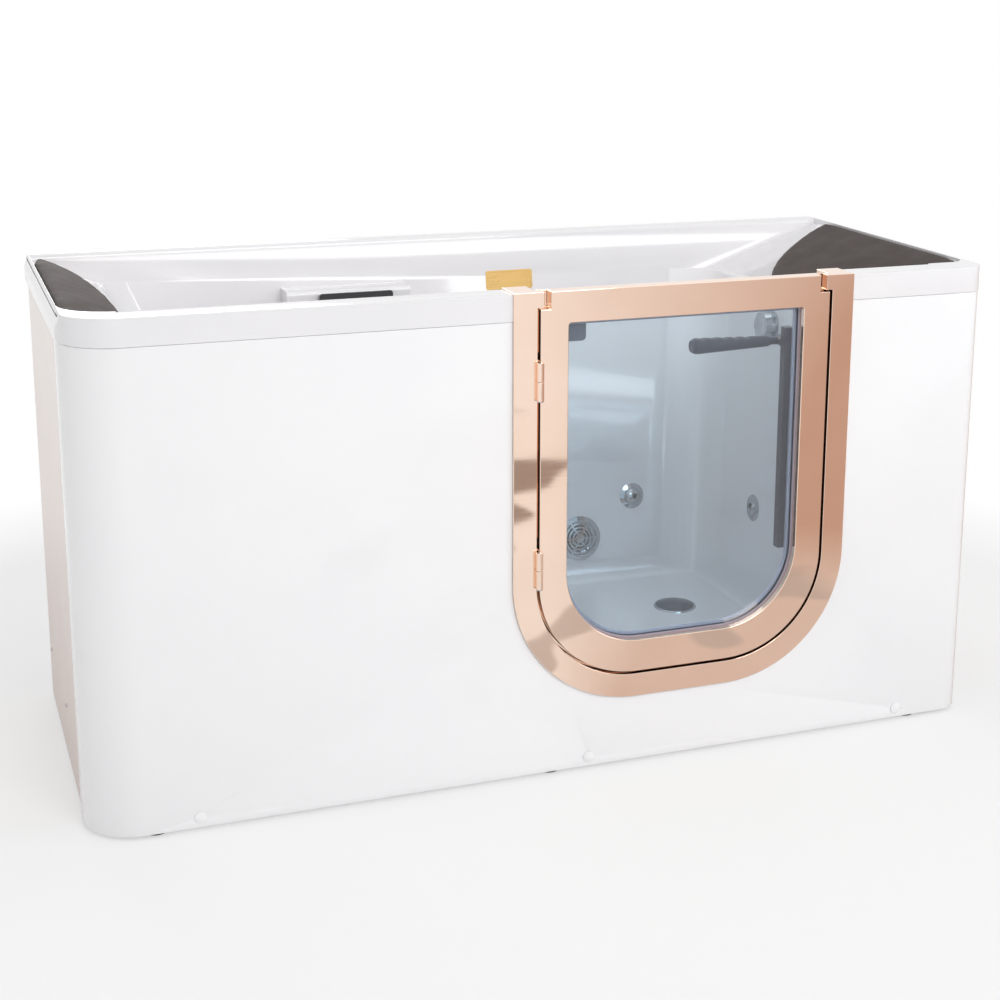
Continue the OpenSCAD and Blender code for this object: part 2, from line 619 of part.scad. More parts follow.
// Rings of a pad: drawn in at the foot, full at the middle of its side, then crowned
pad_side = pad_t - pad_crown;
pad_rings = [[2.5, 1, 0], [0, 1, 0.45], [0.3, 1, 0.75], [2, 1, 0.95], [5, 1, 1]];
pad_crowns = [0.84, 0.6, 0.32];
module headrest(s, depth, tilt) {
  line = pad_outline(depth, tilt);
  n = len(line);
  mid = [depth * 0.42, 10];
  points = concat(
    [for (k = pad_rings, p = line) let(q = p - unit(p - mid) * k[0]) [q.x, q.y, k[2] * pad_side]],
    [for (f = pad_crowns, p = line) let(q = mid + (p - unit(p - mid) * 5 - mid) * f)
      [q.x, q.y, pad_side + pad_crown * (1 - f * f)]],
    [[mid.x, mid.y, pad_t], [mid.x, mid.y, 0]]);
  rings = len(pad_rings) + len(pad_crowns);
  faces = concat(
    [for (k = [0:rings - 2], i = [0:n - 1]) each let(j = (i + 1) % n, a = k * n)
      [[a + i, a + n + j, a + j], [a + i, a + n + i, a + n + j]]],
    [for (i = [0:n - 1]) [(rings - 1) * n + i, rings * n, (rings - 1) * n + (i + 1) % n]],
    [for (i = [0:n - 1]) [(i + 1) % n, rings * n + 1, i]]);
  color(grey) from_tub() translate([s * (xr - rim_end), 0, deck_z + 0.05])
    rotate([0, s > 0 ? -tilt : tilt, 0]) mirror([s > 0 ? 1 : 0, 0, 0]) polyhedron(points, faces, convexity = 4);
}
module headrest_left() headrest(-1, pad_left, tilt_left);
module headrest_right() headrest(1, pad_right, tilt_right);

// Fixed door frame: face, jamb, seat stop and rim caps in one fabrication
tab_w = 12;
tab_h = 28;
module door_frame() color(rose_gold) from_tub() {
  difference() {
    union() {
      slab(yf - proud, yf) round_rect(fx0, fx1, frame_z, door_top, frame_r, 0);
      slab(yf - 1, in_f) intersection() {
        jamb_line(jamb_t);
        translate([fx0, 0]) square([frame_w, door_top]);
      }
    }
    difference() {
      slab(yf - 60, in_f + 60) jamb_line(0);
      slab(stop_y0, stop_y1) difference() {
        translate([fx0, 0]) square([frame_w, top - 4]);
        jamb_line(-stop_w);
      }
      for (s = [0, 1]) box([s ? jx1 - tab_w : jx0 - 1, leaf_y0, door_top - tab_h],
        [s ? jx1 + 1 : jx0 + tab_w, leaf_y0 + 20, door_top]);
    }
  }
  for (x = [fx0, jx1]) box([x, yf - 1, top], [x + strip, in_f, door_top]);
}
module door_seal() color(black) from_tub() slab(leaf_y1 + 0.3, stop_y0) intersection() {
  difference() {
    jamb_line(-4);
    jamb_line(-stop_w + 1);
  }
  translate([fx0, 0]) square([frame_w, top - 4]);
}

module door_leaf() color(rose_gold) from_tub() difference() {
  slab(leaf_y0, leaf_y1) leaf_line();
  slab(leaf_y0 - 5, leaf_y1 + 5) sight_line(0);
  slab(glass_y0 - 2, leaf_y1 + 5) sight_line(rebate);
  for (s = [0, 1]) box([s ? lx1 - 24 + leaf_gap : lx0 - 1, leaf_y0 - 1, door_top - tab_h - 3],
    [s ? lx1 + 1 : lx0 + 24 - leaf_gap, leaf_y0 + 23, door_top + 1]);
}
module door_glass() color([0.62, 0.74, 0.82, 0.4]) from_tub() slab(glass_y0, glass_y0 + glass_t)
  sight_line(rebate - 3);
module glass_gasket() color(black) from_tub() difference() {
  slab(glass_y0 - 2, leaf_y1) sight_line(rebate);
  slab(glass_y0, glass_y0 + glass_t) sight_line(rebate - 3);
  slab(glass_y0 - 5, leaf_y1 + 5) sight_line(-3);
}
module glass_clamp_ring() color([0.80, 0.79, 0.86]) from_tub() difference() {
  slab(leaf_y1, clamp_y) sight_line(30);
  slab(leaf_y1 - 1, clamp_y + 1) sight_line(-8);
  for (p = clamp_screw_places) translate([p[0], clamp_y - 10, p[1]]) rotate([-90, 0, 0])
    cylinder(r = 2.2, h = 20);
}
clamp_screw_places = [
  for (z = [gz1 + 21, gz0 + 200, (gz0 + gz1) / 2]) each [[gx0 - 21, z], [gx1 + 21, z]],
  for (x = [door_x - 130, door_x, door_x + 130]) [x, gz1 + 21],
  for (x = [door_x - 60, door_x + 60]) [x, gz0 - 21]];
module clamp_screws() color(steel) from_tub() for (p = clamp_screw_places)
  translate([p[0], clamp_y, p[1]]) rotate([-90, 0, 0]) {
    intersection() {
      cylinder(r = 4.5, h = 2.5);
      translate([0, 0, -4.5]) sphere(r = 7);
    }
    translate([0, 0, -clamp_t]) cylinder(r = 2, h = clamp_t + 0.5);
  }
module glass_corner_pad() color(grey) from_tub() slab(clamp_y, clamp_y + 14) intersection() {
  round_rect(gx0 - 10, gx0 + 44, gz1 - 40, gz1 + 30, 8, 0);
  translate([gx0 - 10, gz1 - 40]) square([54, 46]);
}

// Butt hinges in the gap: a plate on each side of the axis and two knuckles on one pin
module hinge_half(side, z) {
  lower = side < 0;
  z0 = z - hinge_l / 2;
  difference() {
    union() {
      translate([axis_x, axis_y, lower ? z0 : z + 0.3]) cylinder(r = barrel_r, h = hinge_l / 2 - 0.3);
      box([side < 0 ? jx0 : axis_x + 0.8, axis_y, lower ? z0 : z + 0.3],
        [side < 0 ? axis_x - 0.8 : lx0, leaf_y0 + leaf_t - 4, lower ? z - 0.3 : z + hinge_l / 2]);
    }
    translate([axis_x, axis_y, z0 - 1]) cylinder(r = hinge_pin_r + 0.05, h = hinge_l + 2);
  }
}
module hinge_frame_halves() color(rose_gold) from_tub() for (z = [hinge_lo, hinge_hi]) hinge_half(-1, z);
module hinge_door_halves() color(rose_gold) from_tub() for (z = [hinge_lo, hinge_hi]) hinge_half(1, z);
module hinge_pins() color(steel) from_tub() for (z = [hinge_lo, hinge_hi])
  translate([axis_x, axis_y, z - hinge_l / 2 - 2]) {
    cylinder(r = hinge_pin_r, h = hinge_l + 2);
    cylinder(r = barrel_r - 0.5, h = 2);
  }

// Lock: closed rail with its lever, a sliding bar with two arms, guides and keepers
lock_x0 = gx1 - 8 + 3 - lock_w;
lock_x1 = lock_x0 + lock_w;
lock_y1 = clamp_y + 18;
pivot_x = lock_x0 + lock_w / 2;
arm_z = [rail_lo + 72, rail_hi - 92];
arm_tip = jx1 - stop_w - 7;
arm_y0 = clamp_y + 9;
bar_t = 4;
module lock_rail() color(black) from_tub() difference() {
  union() {
    box([lock_x0, clamp_y, rail_lo], [lock_x1, lock_y1, rail_hi]);
    // mounting lugs above and below the bar
    for (z = [rail_lo, rail_hi - 16]) box([lock_x1 - 1, clamp_y, z], [gx1 + 18, clamp_y + 4, z + 16]);
  }
  for (z = [rail_lo + 8, rail_hi - 8]) translate([gx1 + 10, clamp_y - 1, z]) rotate([-90, 0, 0])
    cylinder(r = 2.5, h = 8);
  translate([pivot_x, clamp_y + 4, lever_z]) rotate([-90, 0, 0]) cylinder(r = 4.05, h = 20);
}
module slide_bar() color(steel) from_tub() {
  box([lock_x1 + 0.3, clamp_y + 4, rail_lo + 36], [lock_x1 + 0.3 + bar_t, lock_y1 - 2, rail_hi - 36]);
  for (z = arm_z) difference() {
    box([lock_x1 + 0.3, arm_y0, z - 7], [arm_tip, arm_y0 + 6, z + 7]);
    translate([arm_tip, arm_y0 - 1, z + 7]) rotate([-90, 45, 0]) cube([7, 7, 8 * 2], center = true);
  }
}
module bar_guides() color(steel) from_tub() for (z = [rail_lo + 130, rail_hi - 150]) difference() {
  box([lock_x1, clamp_y, z - 9], [lock_x1 + bar_t + 12, lock_y1 + 1, z + 9]);
  box([lock_x1 - 1, clamp_y + 3.7, z - 10], [lock_x1 + bar_t + 0.6, lock_y1 - 1.7, z + 10]);
}
lever_y = lock_y1 + grip_r + 1.5;
module lock_lever() color(black) from_tub() translate([pivot_x, 0, lever_z]) {
  translate([0, lock_y1 + 0.3, 0]) rotate([-90, 0, 0]) cylinder(r = 10, h = grip_r + 9);
  translate([0, clamp_y + 5, 0]) rotate([-90, 0, 0]) cylinder(r = 4, h = 20);
  translate([0, lever_y, 0]) rotate([0, -90, 0]) cylinder(r1 = 7.5, r2 = 6.5, h = lever_l - 20);
}
// Moulded grip: swells to its free end, with finger grooves along its upper side
module lever_grip() color(black) from_tub() translate([pivot_x, lever_y, lever_z]) difference() {
  union() {
    translate([-26, 0, 0]) rotate([0, -90, 0]) cylinder(r1 = 10, r2 = grip_r, h = lever_l - 26 - 8);
    translate([8 - lever_l, 0, 0]) rotate([0, -90, 0]) cylinder(r1 = grip_r, r2 = grip_r - 4, h = 8);
  }
  rotate([0, -90, 0]) cylinder(r1 = 7.5, r2 = 6.5, h = lever_l - 20);
  for (i = [0:4]) translate([20 + i * 23 - lever_l, 0, grip_r + 5.5 - i * 0.9])
    rotate([90, 0, 0]) cylinder(r = 9, h = 2 * grip_r + 2, center = true);
}
// Keepers on the jamb: lips in front of the arms, one bar travel above their rest
module lock_keepers() color(steel) from_tub() for (z = arm_z) {
  box([arm_tip - 12, arm_y0 - 0.4 - 5, z + 8], [jx1 - 4, arm_y0 - 0.4, z + 14 + bar_travel]);
  box([jx1 - 4, stop_y1, z + 2], [jx1, in_f - 2, z + 20 + bar_travel]);
}

// Jets: every piece is drawn at the origin with +Z toward the bather. Behind the wall sits
// a cup with its nut and a side socket for the pipe
module wet_body(bore, r, nut_r, spin) difference() {
  union() {
    translate([0, 0, -shell_t - 8]) cylinder(r = nut_r, h = 8, $fn = 8);
    translate([0, 0, -port_depth]) cylinder(r = r, h = port_depth - shell_t);
    rotate([0, 0, spin]) translate([0, 0, -inlet_d]) rotate([0, 90, 0])
      cylinder(r = joint_r, h = r + socket_l);
  }
  translate([0, 0, 3 - port_depth]) cylinder(r = bore, h = port_depth);
  rotate([0, 0, spin]) translate([0, 0, -inlet_d]) rotate([0, 90, 0]) {
    cylinder(r = pipe_r - pipe_t, h = r + socket_l + 1);
    translate([0, 0, r]) cylinder(r = pipe_r + pipe_fit, h = socket_l + 1);
  }
}
module jet_bezel() difference() {
  union() {
    intersection() {
      cylinder(r = bezel_r, h = 6);
      translate([0, 0, 6 - 70]) sphere(r = 70, $fn = 96);
    }
    translate([0, 0, -shell_t - 8]) cylinder(r = jet_bore - 0.2, h = shell_t + 9);
  }
  translate([0, 0, -30]) cylinder(r = nozzle_r + nozzle_gap, h = 50);
}
module jet_nozzle() difference() {
  union() {
    translate([0, 0, -shell_t - 6]) cylinder(r = nozzle_r, h = shell_t + 9);
    intersection() {
      cylinder(r = nozzle_r, h = 9);
      translate([0, 0, -14]) rotate([90, 0, 0]) sphere(r = 22.5);
    }
  }
  translate([0, 0, -shell_t - 7]) cylinder(r = nozzle_r - 3.5, h = shell_t + 3);
  translate([3, 0, 0]) rotate([0, 18, 0]) translate([0, 0, -20]) cylinder(r = 5.5, h = 40);
}
module jet_bodies() color(pvc) from_tub() for (j = jets) place(j)
  wet_body(jet_bore, jet_body_r, bezel_r - 2, j[3]);
module jet_bezels() color(chrome) from_tub() for (j = jets) place(j) jet_bezel();
module jet_nozzle_at(i) color(chrome) from_tub() place(jets[i]) jet_nozzle();
module jet_nozzle_1() jet_nozzle_at(0);
module jet_nozzle_2() jet_nozzle_at(1);
module jet_nozzle_3() jet_nozzle_at(2);
module jet_nozzle_4() jet_nozzle_at(3);
module jet_nozzle_5() jet_nozzle_at(4);
module jet_nozzle_6() jet_nozzle_at(5);

module suction_body() color(pvc) from_tub() place(suction)
  wet_body(suction_bore, suction_body_r, suction_r - 4, suction[3]);
// Suction cover: domed grating with ring slots between three spokes
module suction_cover() color(chrome) from_tub() place(suction) {
  difference() {
    intersection() {
      cylinder(r = suction_r, h = 9);
      translate([0, 0, 9 - 260]) sphere(r = 260, $fn = 180);
    }
    translate([0, 0, -1]) cylinder(r = suction_r - 4, h = 4);
    difference() {
      for (r = [10, 18, 26, 34]) tube(r + 4, 4, -1, 20);
      for (a = [0, 60, 120]) rotate([0, 0, a]) cube([200, 4, 60], center = true);
    }
  }
  tube(suction_bore - 0.2, 3, -12, 4);
}

// Straight pipes in socket fittings: elbows with a ball at the bend, and tees
function heading(a, b) = let(d = b - a) [0, acos(d.z / norm(d)), atan2(d.y, d.x)];
function meets(p, lines) = [for (r = lines) each r[0] == p ? [r[1]] : r[1] == p ? [r[0]] : []];
module leg(a, b, r, skip, l, spin = 0) translate(a) rotate(heading(a, b)) rotate([0, 0, spin])
  translate([0, 0, skip]) cylinder(r = r, h = l);
module pipe(a, b, r, t, far) {
  skip = r + socket_t;
  l = norm(b - a) - skip - far;
  difference() {
    leg(a, b, r, skip, l);
    leg(a, b, r - t, skip - 1, l + 2);
  }
}
module pipes(lines, tails, r, t) {
  for (q = lines) pipe(q[0], q[1], r, t, r + socket_t);
  for (q = tails) pipe(q[0], q[1], r, t, 0);
}
module fitting(p, to, r, t, spigot = 0) {
  down = p - [0, 0, 1];
  elbow = len(to) + (spigot > 0 ? 1 : 0) == 2;
  spin = elbow ? 45 : 0;
  outer = r + socket_t;
  difference() {
    union() {
      for (e = to) leg(p, e, outer, 0, outer + socket_l, spin);
      if (spigot > 0) leg(p, down, outer, 0, outer + 4, spin);
      if (spigot > 0) leg(p, down, r, 0, spigot, spin);
      if (elbow) translate(p) rotate([45, 35, 0]) sphere(r = outer + 1);
    }
    for (e = to) leg(p, e, r - t, 0, outer + socket_l + 1, spin);
    for (e = to) leg(p, e, r + pipe_fit, outer, socket_l + 1, spin);
    if (spigot > 0) leg(p, down, r - t, 0, spigot + 1, spin);
    if (elbow) translate(p) rotate([45, 35, 0]) sphere(r = r - t + 0.5);
  }
}
module water_pipes() color(pvc) from_tub() pipes(runs, ends, pipe_r, pipe_t);
module pipe_fittings() color(pvc) from_tub() for (p = corners)
  fitting(p, meets(p, concat(runs, ends)), pipe_r, pipe_t);

// Pump: volute with its unions, finned motor and mounting foot
module pump_volute() color(black) from_tub() difference() {
  union() {
    translate([volute_x - 34, pump_y, pump_z]) rotate([0, 90, 0]) {
      cylinder(r = volute_r + 6, h = 9);
      cylinder(r = volute_r, h = 48);
      translate([0, 0, 47]) cylinder(r1 = volute_r, r2 = 34, h = 18);
      cylinder(r = joint_r, h = 34 + nozzle_side);
      translate([0, 0, 66]) cylinder(r = joint_r + 6, h = 18, $fn = 8);
    }
    translate([volute_x, pump_y, pump_z]) cylinder(r = joint_r, h = nozzle_up);
    translate([volute_x, pump_y, pump_z + volute_r + 2]) cylinder(r = joint_r + 6, h = 16, $fn = 8);
  }
  translate([volute_x + 10, pump_y, pump_z]) rotate([0, 90, 0])
    cylinder(r = pipe_r - pipe_t, h = nozzle_side);
  translate([volute_x + nozzle_side - socket_l, pump_y, pump_z]) rotate([0, 90, 0])
    cylinder(r = pipe_r + pipe_fit, h = socket_l + 1);
  translate([volute_x, pump_y, pump_z + 10]) cylinder(r = pipe_r - pipe_t, h = nozzle_up);
  translate([volute_x, pump_y, pump_z + nozzle_up - socket_l])
    cylinder(r = pipe_r + pipe_fit, h = socket_l + 1);
}
motor_l = 190;
motor_x1 = volute_x - 34;
module pump_motor() color([0.30, 0.33, 0.38]) from_tub()
  translate([motor_x1, pump_y, pump_z]) rotate([0, -90, 0]) {
  cylinder(r = motor_r - 8, h = motor_l);
  cylinder(r = motor_r, h = 14);
  translate([0, 0, motor_l - 26]) cylinder(r = motor_r, h = 12);
  intersection() {
    translate([0, 0, motor_l - 8]) cylinder(r = motor_r - 5, h = 26);
    translate([0, 0, motor_l - 60]) sphere(r = 95);
  }
  difference() {
    for (a = [0:18:342]) rotate([0, 0, a]) translate([0, -1.5, 14])
      cube([motor_r - 1, 3, motor_l - 40]);
    translate([0, 0, 5]) cylinder(r = motor_r - 12, h = motor_l - 20);
  }
  translate([motor_r - 12, -30, 50]) cube([34, 60, 78]);
}
pump_foot_z = rail_top_z + tray_t;
module pump_foot() color(steel) from_tub() difference() {
  union() {
    box([motor_x1 - motor_l + 20, -180, rail_top_z], [volute_x + 12, 180, pump_foot_z]);
    for (x = [motor_x1 - 40, motor_x1 - 140]) box([x - 12, pump_y - 50, pump_foot_z],
      [x + 12, pump_y + 50, pump_z - 20]);
  }
  translate([motor_x1 - motor_l - 10, pump_y, pump_z]) rotate([0, 90, 0])
    cylinder(r = motor_r - 0.7, h = motor_l + 60);
  for (y = sill_y) box([leg_x - 1, y - 1, rail_top_z - 1], [leg_x + angle_w + 1, y + angle_w + 1, 400]);
}

// Control panel on the console, and its box under the seat
panel_w = 150;
panel_h = 44;
panel_t = 8;
panel_turn = atan(console_lean / (console_top - console_low));
module control_panel() color(black) from_tub() translate([console_x + 12, console_y, console_top])
  rotate([-panel_turn, 0, 0]) translate([0, 0.4, -panel_h - 6]) rotate([90, 0, 0])
  linear_extrude(panel_t) translate([-panel_w / 2, 0]) round_rect(0, panel_w, 0, panel_h, 6, 6);
module control_box() color([0.85, 0.85, 0.83]) from_tub() {
  box([seat_front - 90, -150, rail_top_z + tray_t], [seat_front - 20, -60, rail_top_z + 180]);
  box([seat_front - 96, -160, rail_top_z], [seat_front - 10, -50, rail_top_z + tray_t]);
}

// Waste: drain under the foot well, overflow in the end wall, joined by one pipe
drain_bore = drain_hole_r - 3;
spider_drop = 30;
module drain_body() color(pvc) from_tub() translate([drain_x, 0, 0]) {
  difference() {
    union() {
      translate([0, 0, floor_z - shell_t - 6]) cylinder(r = drain_r - 6, h = 6);
      translate([0, 0, waste_z]) cylinder(r = drain_hole_r, h = floor_z - shell_t - waste_z);
      translate([0, 0, waste_z]) sphere(r = drain_hole_r);
    }
    translate([0, 0, waste_z]) cylinder(r = drain_bore, h = 100);
    translate([0, 0, waste_z]) sphere(r = drain_bore);
    translate([0, 0, waste_z]) rotate([0, 90, 0]) cylinder(r = waste_r + pipe_fit, h = 60);
  }
  // three-legged guide for the plug's rod
  translate([0, 0, floor_z - spider_drop]) difference() {
    union() {
      for (a = [0, 120, 240]) rotate([0, 0, a]) translate([0, -1.5, 0])
        cube([drain_bore + 1, 3, 5]);
      cylinder(r = 7, h = 10);
    }
    translate([0, 0, -1]) cylinder(r = 4.05, h = 20);
  }
}
module drain_flange() color(chrome) from_tub() translate([drain_x, 0, floor_z]) difference() {
  union() {
    cylinder(r1 = drain_r, r2 = drain_r - 2, h = 3);
    translate([0, 0, -shell_t - 6]) cylinder(r = drain_bore - 0.05, h = shell_t + 8);
  }
  translate([0, 0, -40]) cylinder(r = drain_bore - 3, h = 60);
  translate([0, 0, 1]) cylinder(r1 = drain_bore - 3, r2 = drain_bore, h = 3);
}
module drain_plug() color([0.30, 0.31, 0.33]) from_tub() translate([drain_x, 0, floor_z]) {
  intersection() {
    translate([0, 0, 3.3]) cylinder(r = drain_r - 5, h = 7);
    translate([0, 0, 10 - 120]) sphere(r = 120, $fn = 128);
  }
  translate([0, 0, 1 - spider_drop - plug_lift]) cylinder(r = 4, h = 5 + spider_drop + plug_lift);
}
module overflow_body() color(pvc) from_tub() place(overflow) difference() {
  union() {
    translate([0, 0, -shell_t - 6]) cylinder(r = over_hole_r + 14, h = 6);
    translate([0, 0, -46]) cylinder(r = waste_r + socket_t, h = 46 - shell_t);
  }
  translate([0, 0, -60]) cylinder(r = over_hole_r - 2, h = 80);
  translate([0, 0, -47]) cylinder(r = waste_r + pipe_fit, h = 17);
}
module overflow_plate() color(chrome) from_tub() place(overflow) difference() {
  union() {
    cylinder(r = knob_r + 3, h = 4);
    translate([0, 0, -shell_t - 6]) cylinder(r = over_hole_r - 2.05, h = shell_t + 8);
  }
  translate([0, 0, -40]) cylinder(r = 5.05, h = 60);
  for (a = [0:60:300]) rotate([0, 0, a + 30]) translate([10.5, 0, -40]) cylinder(r = 3.2, h = 60, $fn = 24);
}
// Knob: scalloped rim, dished face and its spindle through the plate
module overflow_knob() color(chrome) from_tub() place(overflow) {
  difference() {
    translate([0, 0, 4.3]) cylinder(r1 = knob_r, r2 = knob_r - 3, h = 20);
    for (a = [0:60:300]) rotate([0, 0, a]) translate([knob_r + 9, 0, 0]) cylinder(r = 14, h = 40);
    translate([0, 0, 24.3 + 60]) sphere(r = 62.5, $fn = 96);
    translate([0, 0, 3]) cylinder(r = knob_r - 12, h = 8);
  }
  translate([0, 0, -30]) cylinder(r = 5, h = 46);
}
// Waste run: down from the overflow, along to the drain, and off to the floor outlet
waste_t = 2.5;
waste_y = yb - 66;
outlet_drop = 68;
over_bend = overflow[0] + (over_x - overflow[0].x) * [1, 0, -tan(end_tilt)];
waste_foot = [over_x, 0, waste_z];
waste_tee = [over_x - 130, 0, waste_z];
waste_bend = [waste_tee.x, waste_y, waste_z];
waste_runs = [[over_bend, waste_foot], [waste_foot, waste_tee], [waste_tee, waste_bend]];
waste_tails = [[over_bend, behind(overflow, 30)],
  [waste_tee, [drain_x + drain_hole_r - 6, 0, waste_z]]];
module waste_pipes() color(pvc) from_tub() pipes(waste_runs, waste_tails, waste_r, waste_t);
module waste_fittings() color(pvc) from_tub()
  for (p = [over_bend, waste_foot, waste_tee, waste_bend])
    fitting(p, meets(p, concat(waste_runs, waste_tails)), waste_r, waste_t,
      p == waste_bend ? outlet_drop : 0);

tub_shell();
front_apron();
end_panel_left();
end_panel_right();
base_frame();
frame_uprights();
seat_stand();
levelling_feet();
foot_nuts();
headrest_left();
headrest_right();
apron_screw_caps();
side_screws();
door_frame();
door_seal();
lock_keepers();
hinge_frame_halves();
hinge_pins();
door_leaf();
door_glass();
glass_gasket();
glass_clamp_ring();
clamp_screws();
glass_corner_pad();
hinge_door_halves();
lock_rail();
bar_guides();
slide_bar();
lock_lever();
lever_grip();
jet_bodies();
jet_bezels();
jet_nozzle_1();
jet_nozzle_2();
jet_nozzle_3();
jet_nozzle_4();
jet_nozzle_5();
jet_nozzle_6();
suction_body();
suction_cover();
water_pipes();
pipe_fittings();
pump_volute();
pump_motor();
pump_foot();
control_panel();
control_box();
drain_body();
drain_flange();
drain_plug();
overflow_body();
overflow_plate();
overflow_knob();
waste_pipes();
waste_fittings();
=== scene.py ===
import json
import math

import bmesh
import bpy
from mathutils import Matrix, Vector


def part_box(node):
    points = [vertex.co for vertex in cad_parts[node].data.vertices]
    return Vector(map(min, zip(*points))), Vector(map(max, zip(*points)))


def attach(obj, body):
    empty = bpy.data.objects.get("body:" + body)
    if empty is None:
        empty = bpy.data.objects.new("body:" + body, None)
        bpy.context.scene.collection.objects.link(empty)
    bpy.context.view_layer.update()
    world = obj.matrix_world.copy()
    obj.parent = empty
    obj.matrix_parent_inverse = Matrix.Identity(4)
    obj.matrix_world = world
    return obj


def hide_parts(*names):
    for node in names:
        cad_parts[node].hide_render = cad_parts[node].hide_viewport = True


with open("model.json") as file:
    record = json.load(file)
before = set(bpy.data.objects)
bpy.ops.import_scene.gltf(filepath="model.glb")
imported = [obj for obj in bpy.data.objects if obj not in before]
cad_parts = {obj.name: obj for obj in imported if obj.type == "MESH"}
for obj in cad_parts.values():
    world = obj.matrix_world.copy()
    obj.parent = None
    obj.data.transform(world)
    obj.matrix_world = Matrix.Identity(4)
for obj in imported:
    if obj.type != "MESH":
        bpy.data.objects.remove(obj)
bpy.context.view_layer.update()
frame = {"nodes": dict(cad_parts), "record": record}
nodes = frame["nodes"]
bodyOf = {node: body for body, members in frame["record"]["behaviour"]["bodies"].items()
          for node in members}
slotOf = {row["node"]: row["material_slot"] for row in frame["record"]["subparts"]}
print("frame loaded:", len(nodes), "nodes")


# What the shared shader groups have in common: spreads are the noise values they stretch
groupForm = {"detail": 3.0, "smudgeDetail": 5.0, "smudgeRough": 0.62, "fineTimes": 14.0,
             "largeShare": 0.75, "smudgeSpread": (0.32, 0.68), "driftSpread": (0.3, 0.7),
             "lineRough": 0.6, "lineSpread": (0.3, 0.7), "slowTimes": 0.12, "skinLift": 0.4}


def newGroup(name, inputs, outputs):
    group = bpy.data.node_groups.new(name, "ShaderNodeTree")
    for label, kind, value in inputs:
        socket = group.interface.new_socket(name=label, in_out="INPUT", socket_type=kind)
        socket.default_value = value
    for label, kind in outputs:
        group.interface.new_socket(name=label, in_out="OUTPUT", socket_type=kind)
    return group, group.nodes.new("NodeGroupInput"), group.nodes.new("NodeGroupOutput")


def addNoise(tree, vector, scale, detail=4.0, rough=0.55):
    node = tree.nodes.new("ShaderNodeTexNoise")
    tree.links.new(vector, node.inputs["Vector"])
    node.inputs["Detail"].default_value = detail
    node.inputs["Roughness"].default_value = rough
    if isinstance(scale, float):
        node.inputs["Scale"].default_value = scale
    else:
        tree.links.new(scale, node.inputs["Scale"])
    return node.outputs["Fac"]


def addMath(tree, operation, first, second):
    node = tree.nodes.new("ShaderNodeMath")
    node.operation = operation
    for socket, value in zip(node.inputs, (first, second)):
        if isinstance(value, (int, float)):
            socket.default_value = value
        else:
            tree.links.new(value, socket)
    return node.outputs[0]


def addRange(tree, value, fromLow, fromHigh, toLow=0.0, toHigh=1.0):
    node = tree.nodes.new("ShaderNodeMapRange")
    for label, given in (("Value", value), ("From Min", fromLow), ("From Max", fromHigh),
                         ("To Min", toLow), ("To Max", toHigh)):
        if isinstance(given, (int, float)):
            node.inputs[label].default_value = given
        else:
            tree.links.new(given, node.inputs[label])
    return node.outputs["Result"]


# Smudges: uneven gloss from handling and cleaning, between two roughness values
def makeSmudges():
    group, given, result = newGroup(
        "smudges", [("Vector", "NodeSocketVector", (0, 0, 0)), ("Scale", "NodeSocketFloat", 9.0),
                    ("Low", "NodeSocketFloat", 0.05), ("High", "NodeSocketFloat", 0.15)],
        [("Roughness", "NodeSocketFloat")])
    large = addNoise(group, given.outputs["Vector"], given.outputs["Scale"],
                     groupForm["smudgeDetail"], groupForm["smudgeRough"])
    fineScale = addMath(group, "MULTIPLY", given.outputs["Scale"], groupForm["fineTimes"])
    fine = addNoise(group, given.outputs["Vector"], fineScale, groupForm["detail"])
    both = addMath(group, "ADD", addMath(group, "MULTIPLY", large, groupForm["largeShare"]),
                   addMath(group, "MULTIPLY", fine, 1 - groupForm["largeShare"]))
    rough = addRange(group, both, *groupForm["smudgeSpread"], given.outputs["Low"],
                     given.outputs["High"])
    group.links.new(rough, result.inputs["Roughness"])
    return group


# Two close colours drifting into each other
def makeDrift():
    group, given, result = newGroup(
        "colourDrift", [("Vector", "NodeSocketVector", (0, 0, 0)),
                        ("Scale", "NodeSocketFloat", 4.0),
                        ("First", "NodeSocketColor", (1, 1, 1, 1)),
                        ("Second", "NodeSocketColor", (1, 1, 1, 1))],
        [("Color", "NodeSocketColor")])
    slow = addNoise(group, given.outputs["Vector"], given.outputs["Scale"], groupForm["detail"])
    share = addRange(group, slow, *groupForm["driftSpread"])
    mix = group.nodes.new("ShaderNodeMix")
    mix.data_type = "RGBA"
    group.links.new(share, mix.inputs["Factor"])
    group.links.new(given.outputs["First"], mix.inputs["A"])
    group.links.new(given.outputs["Second"], mix.inputs["B"])
    group.links.new(mix.outputs["Result"], result.inputs["Color"])
    return group


# Fine lines left by rolling, brushing or polishing; Stretch is the noise scale along each axis
def makeLines():
    group, given, result = newGroup(
        "polishLines", [("Vector", "NodeSocketVector", (0, 0, 0)),
                        ("Stretch", "NodeSocketVector", (8, 8, 900)),
                        ("Low", "NodeSocketFloat", 0.1), ("High", "NodeSocketFloat", 0.3)],
        [("Roughness", "NodeSocketFloat"), ("Height", "NodeSocketFloat")])
    stretched = group.nodes.new("ShaderNodeVectorMath")
    stretched.operation = "MULTIPLY"
    group.links.new(given.outputs["Vector"], stretched.inputs[0])
    group.links.new(given.outputs["Stretch"], stretched.inputs[1])
    streaks = addNoise(group, stretched.outputs[0], 1.0, rough=groupForm["lineRough"])
    rough = addRange(group, streaks, *groupForm["lineSpread"], given.outputs["Low"],
                     given.outputs["High"])
    group.links.new(rough, result.inputs["Roughness"])
    group.links.new(streaks, result.inputs["Height"])
    return group


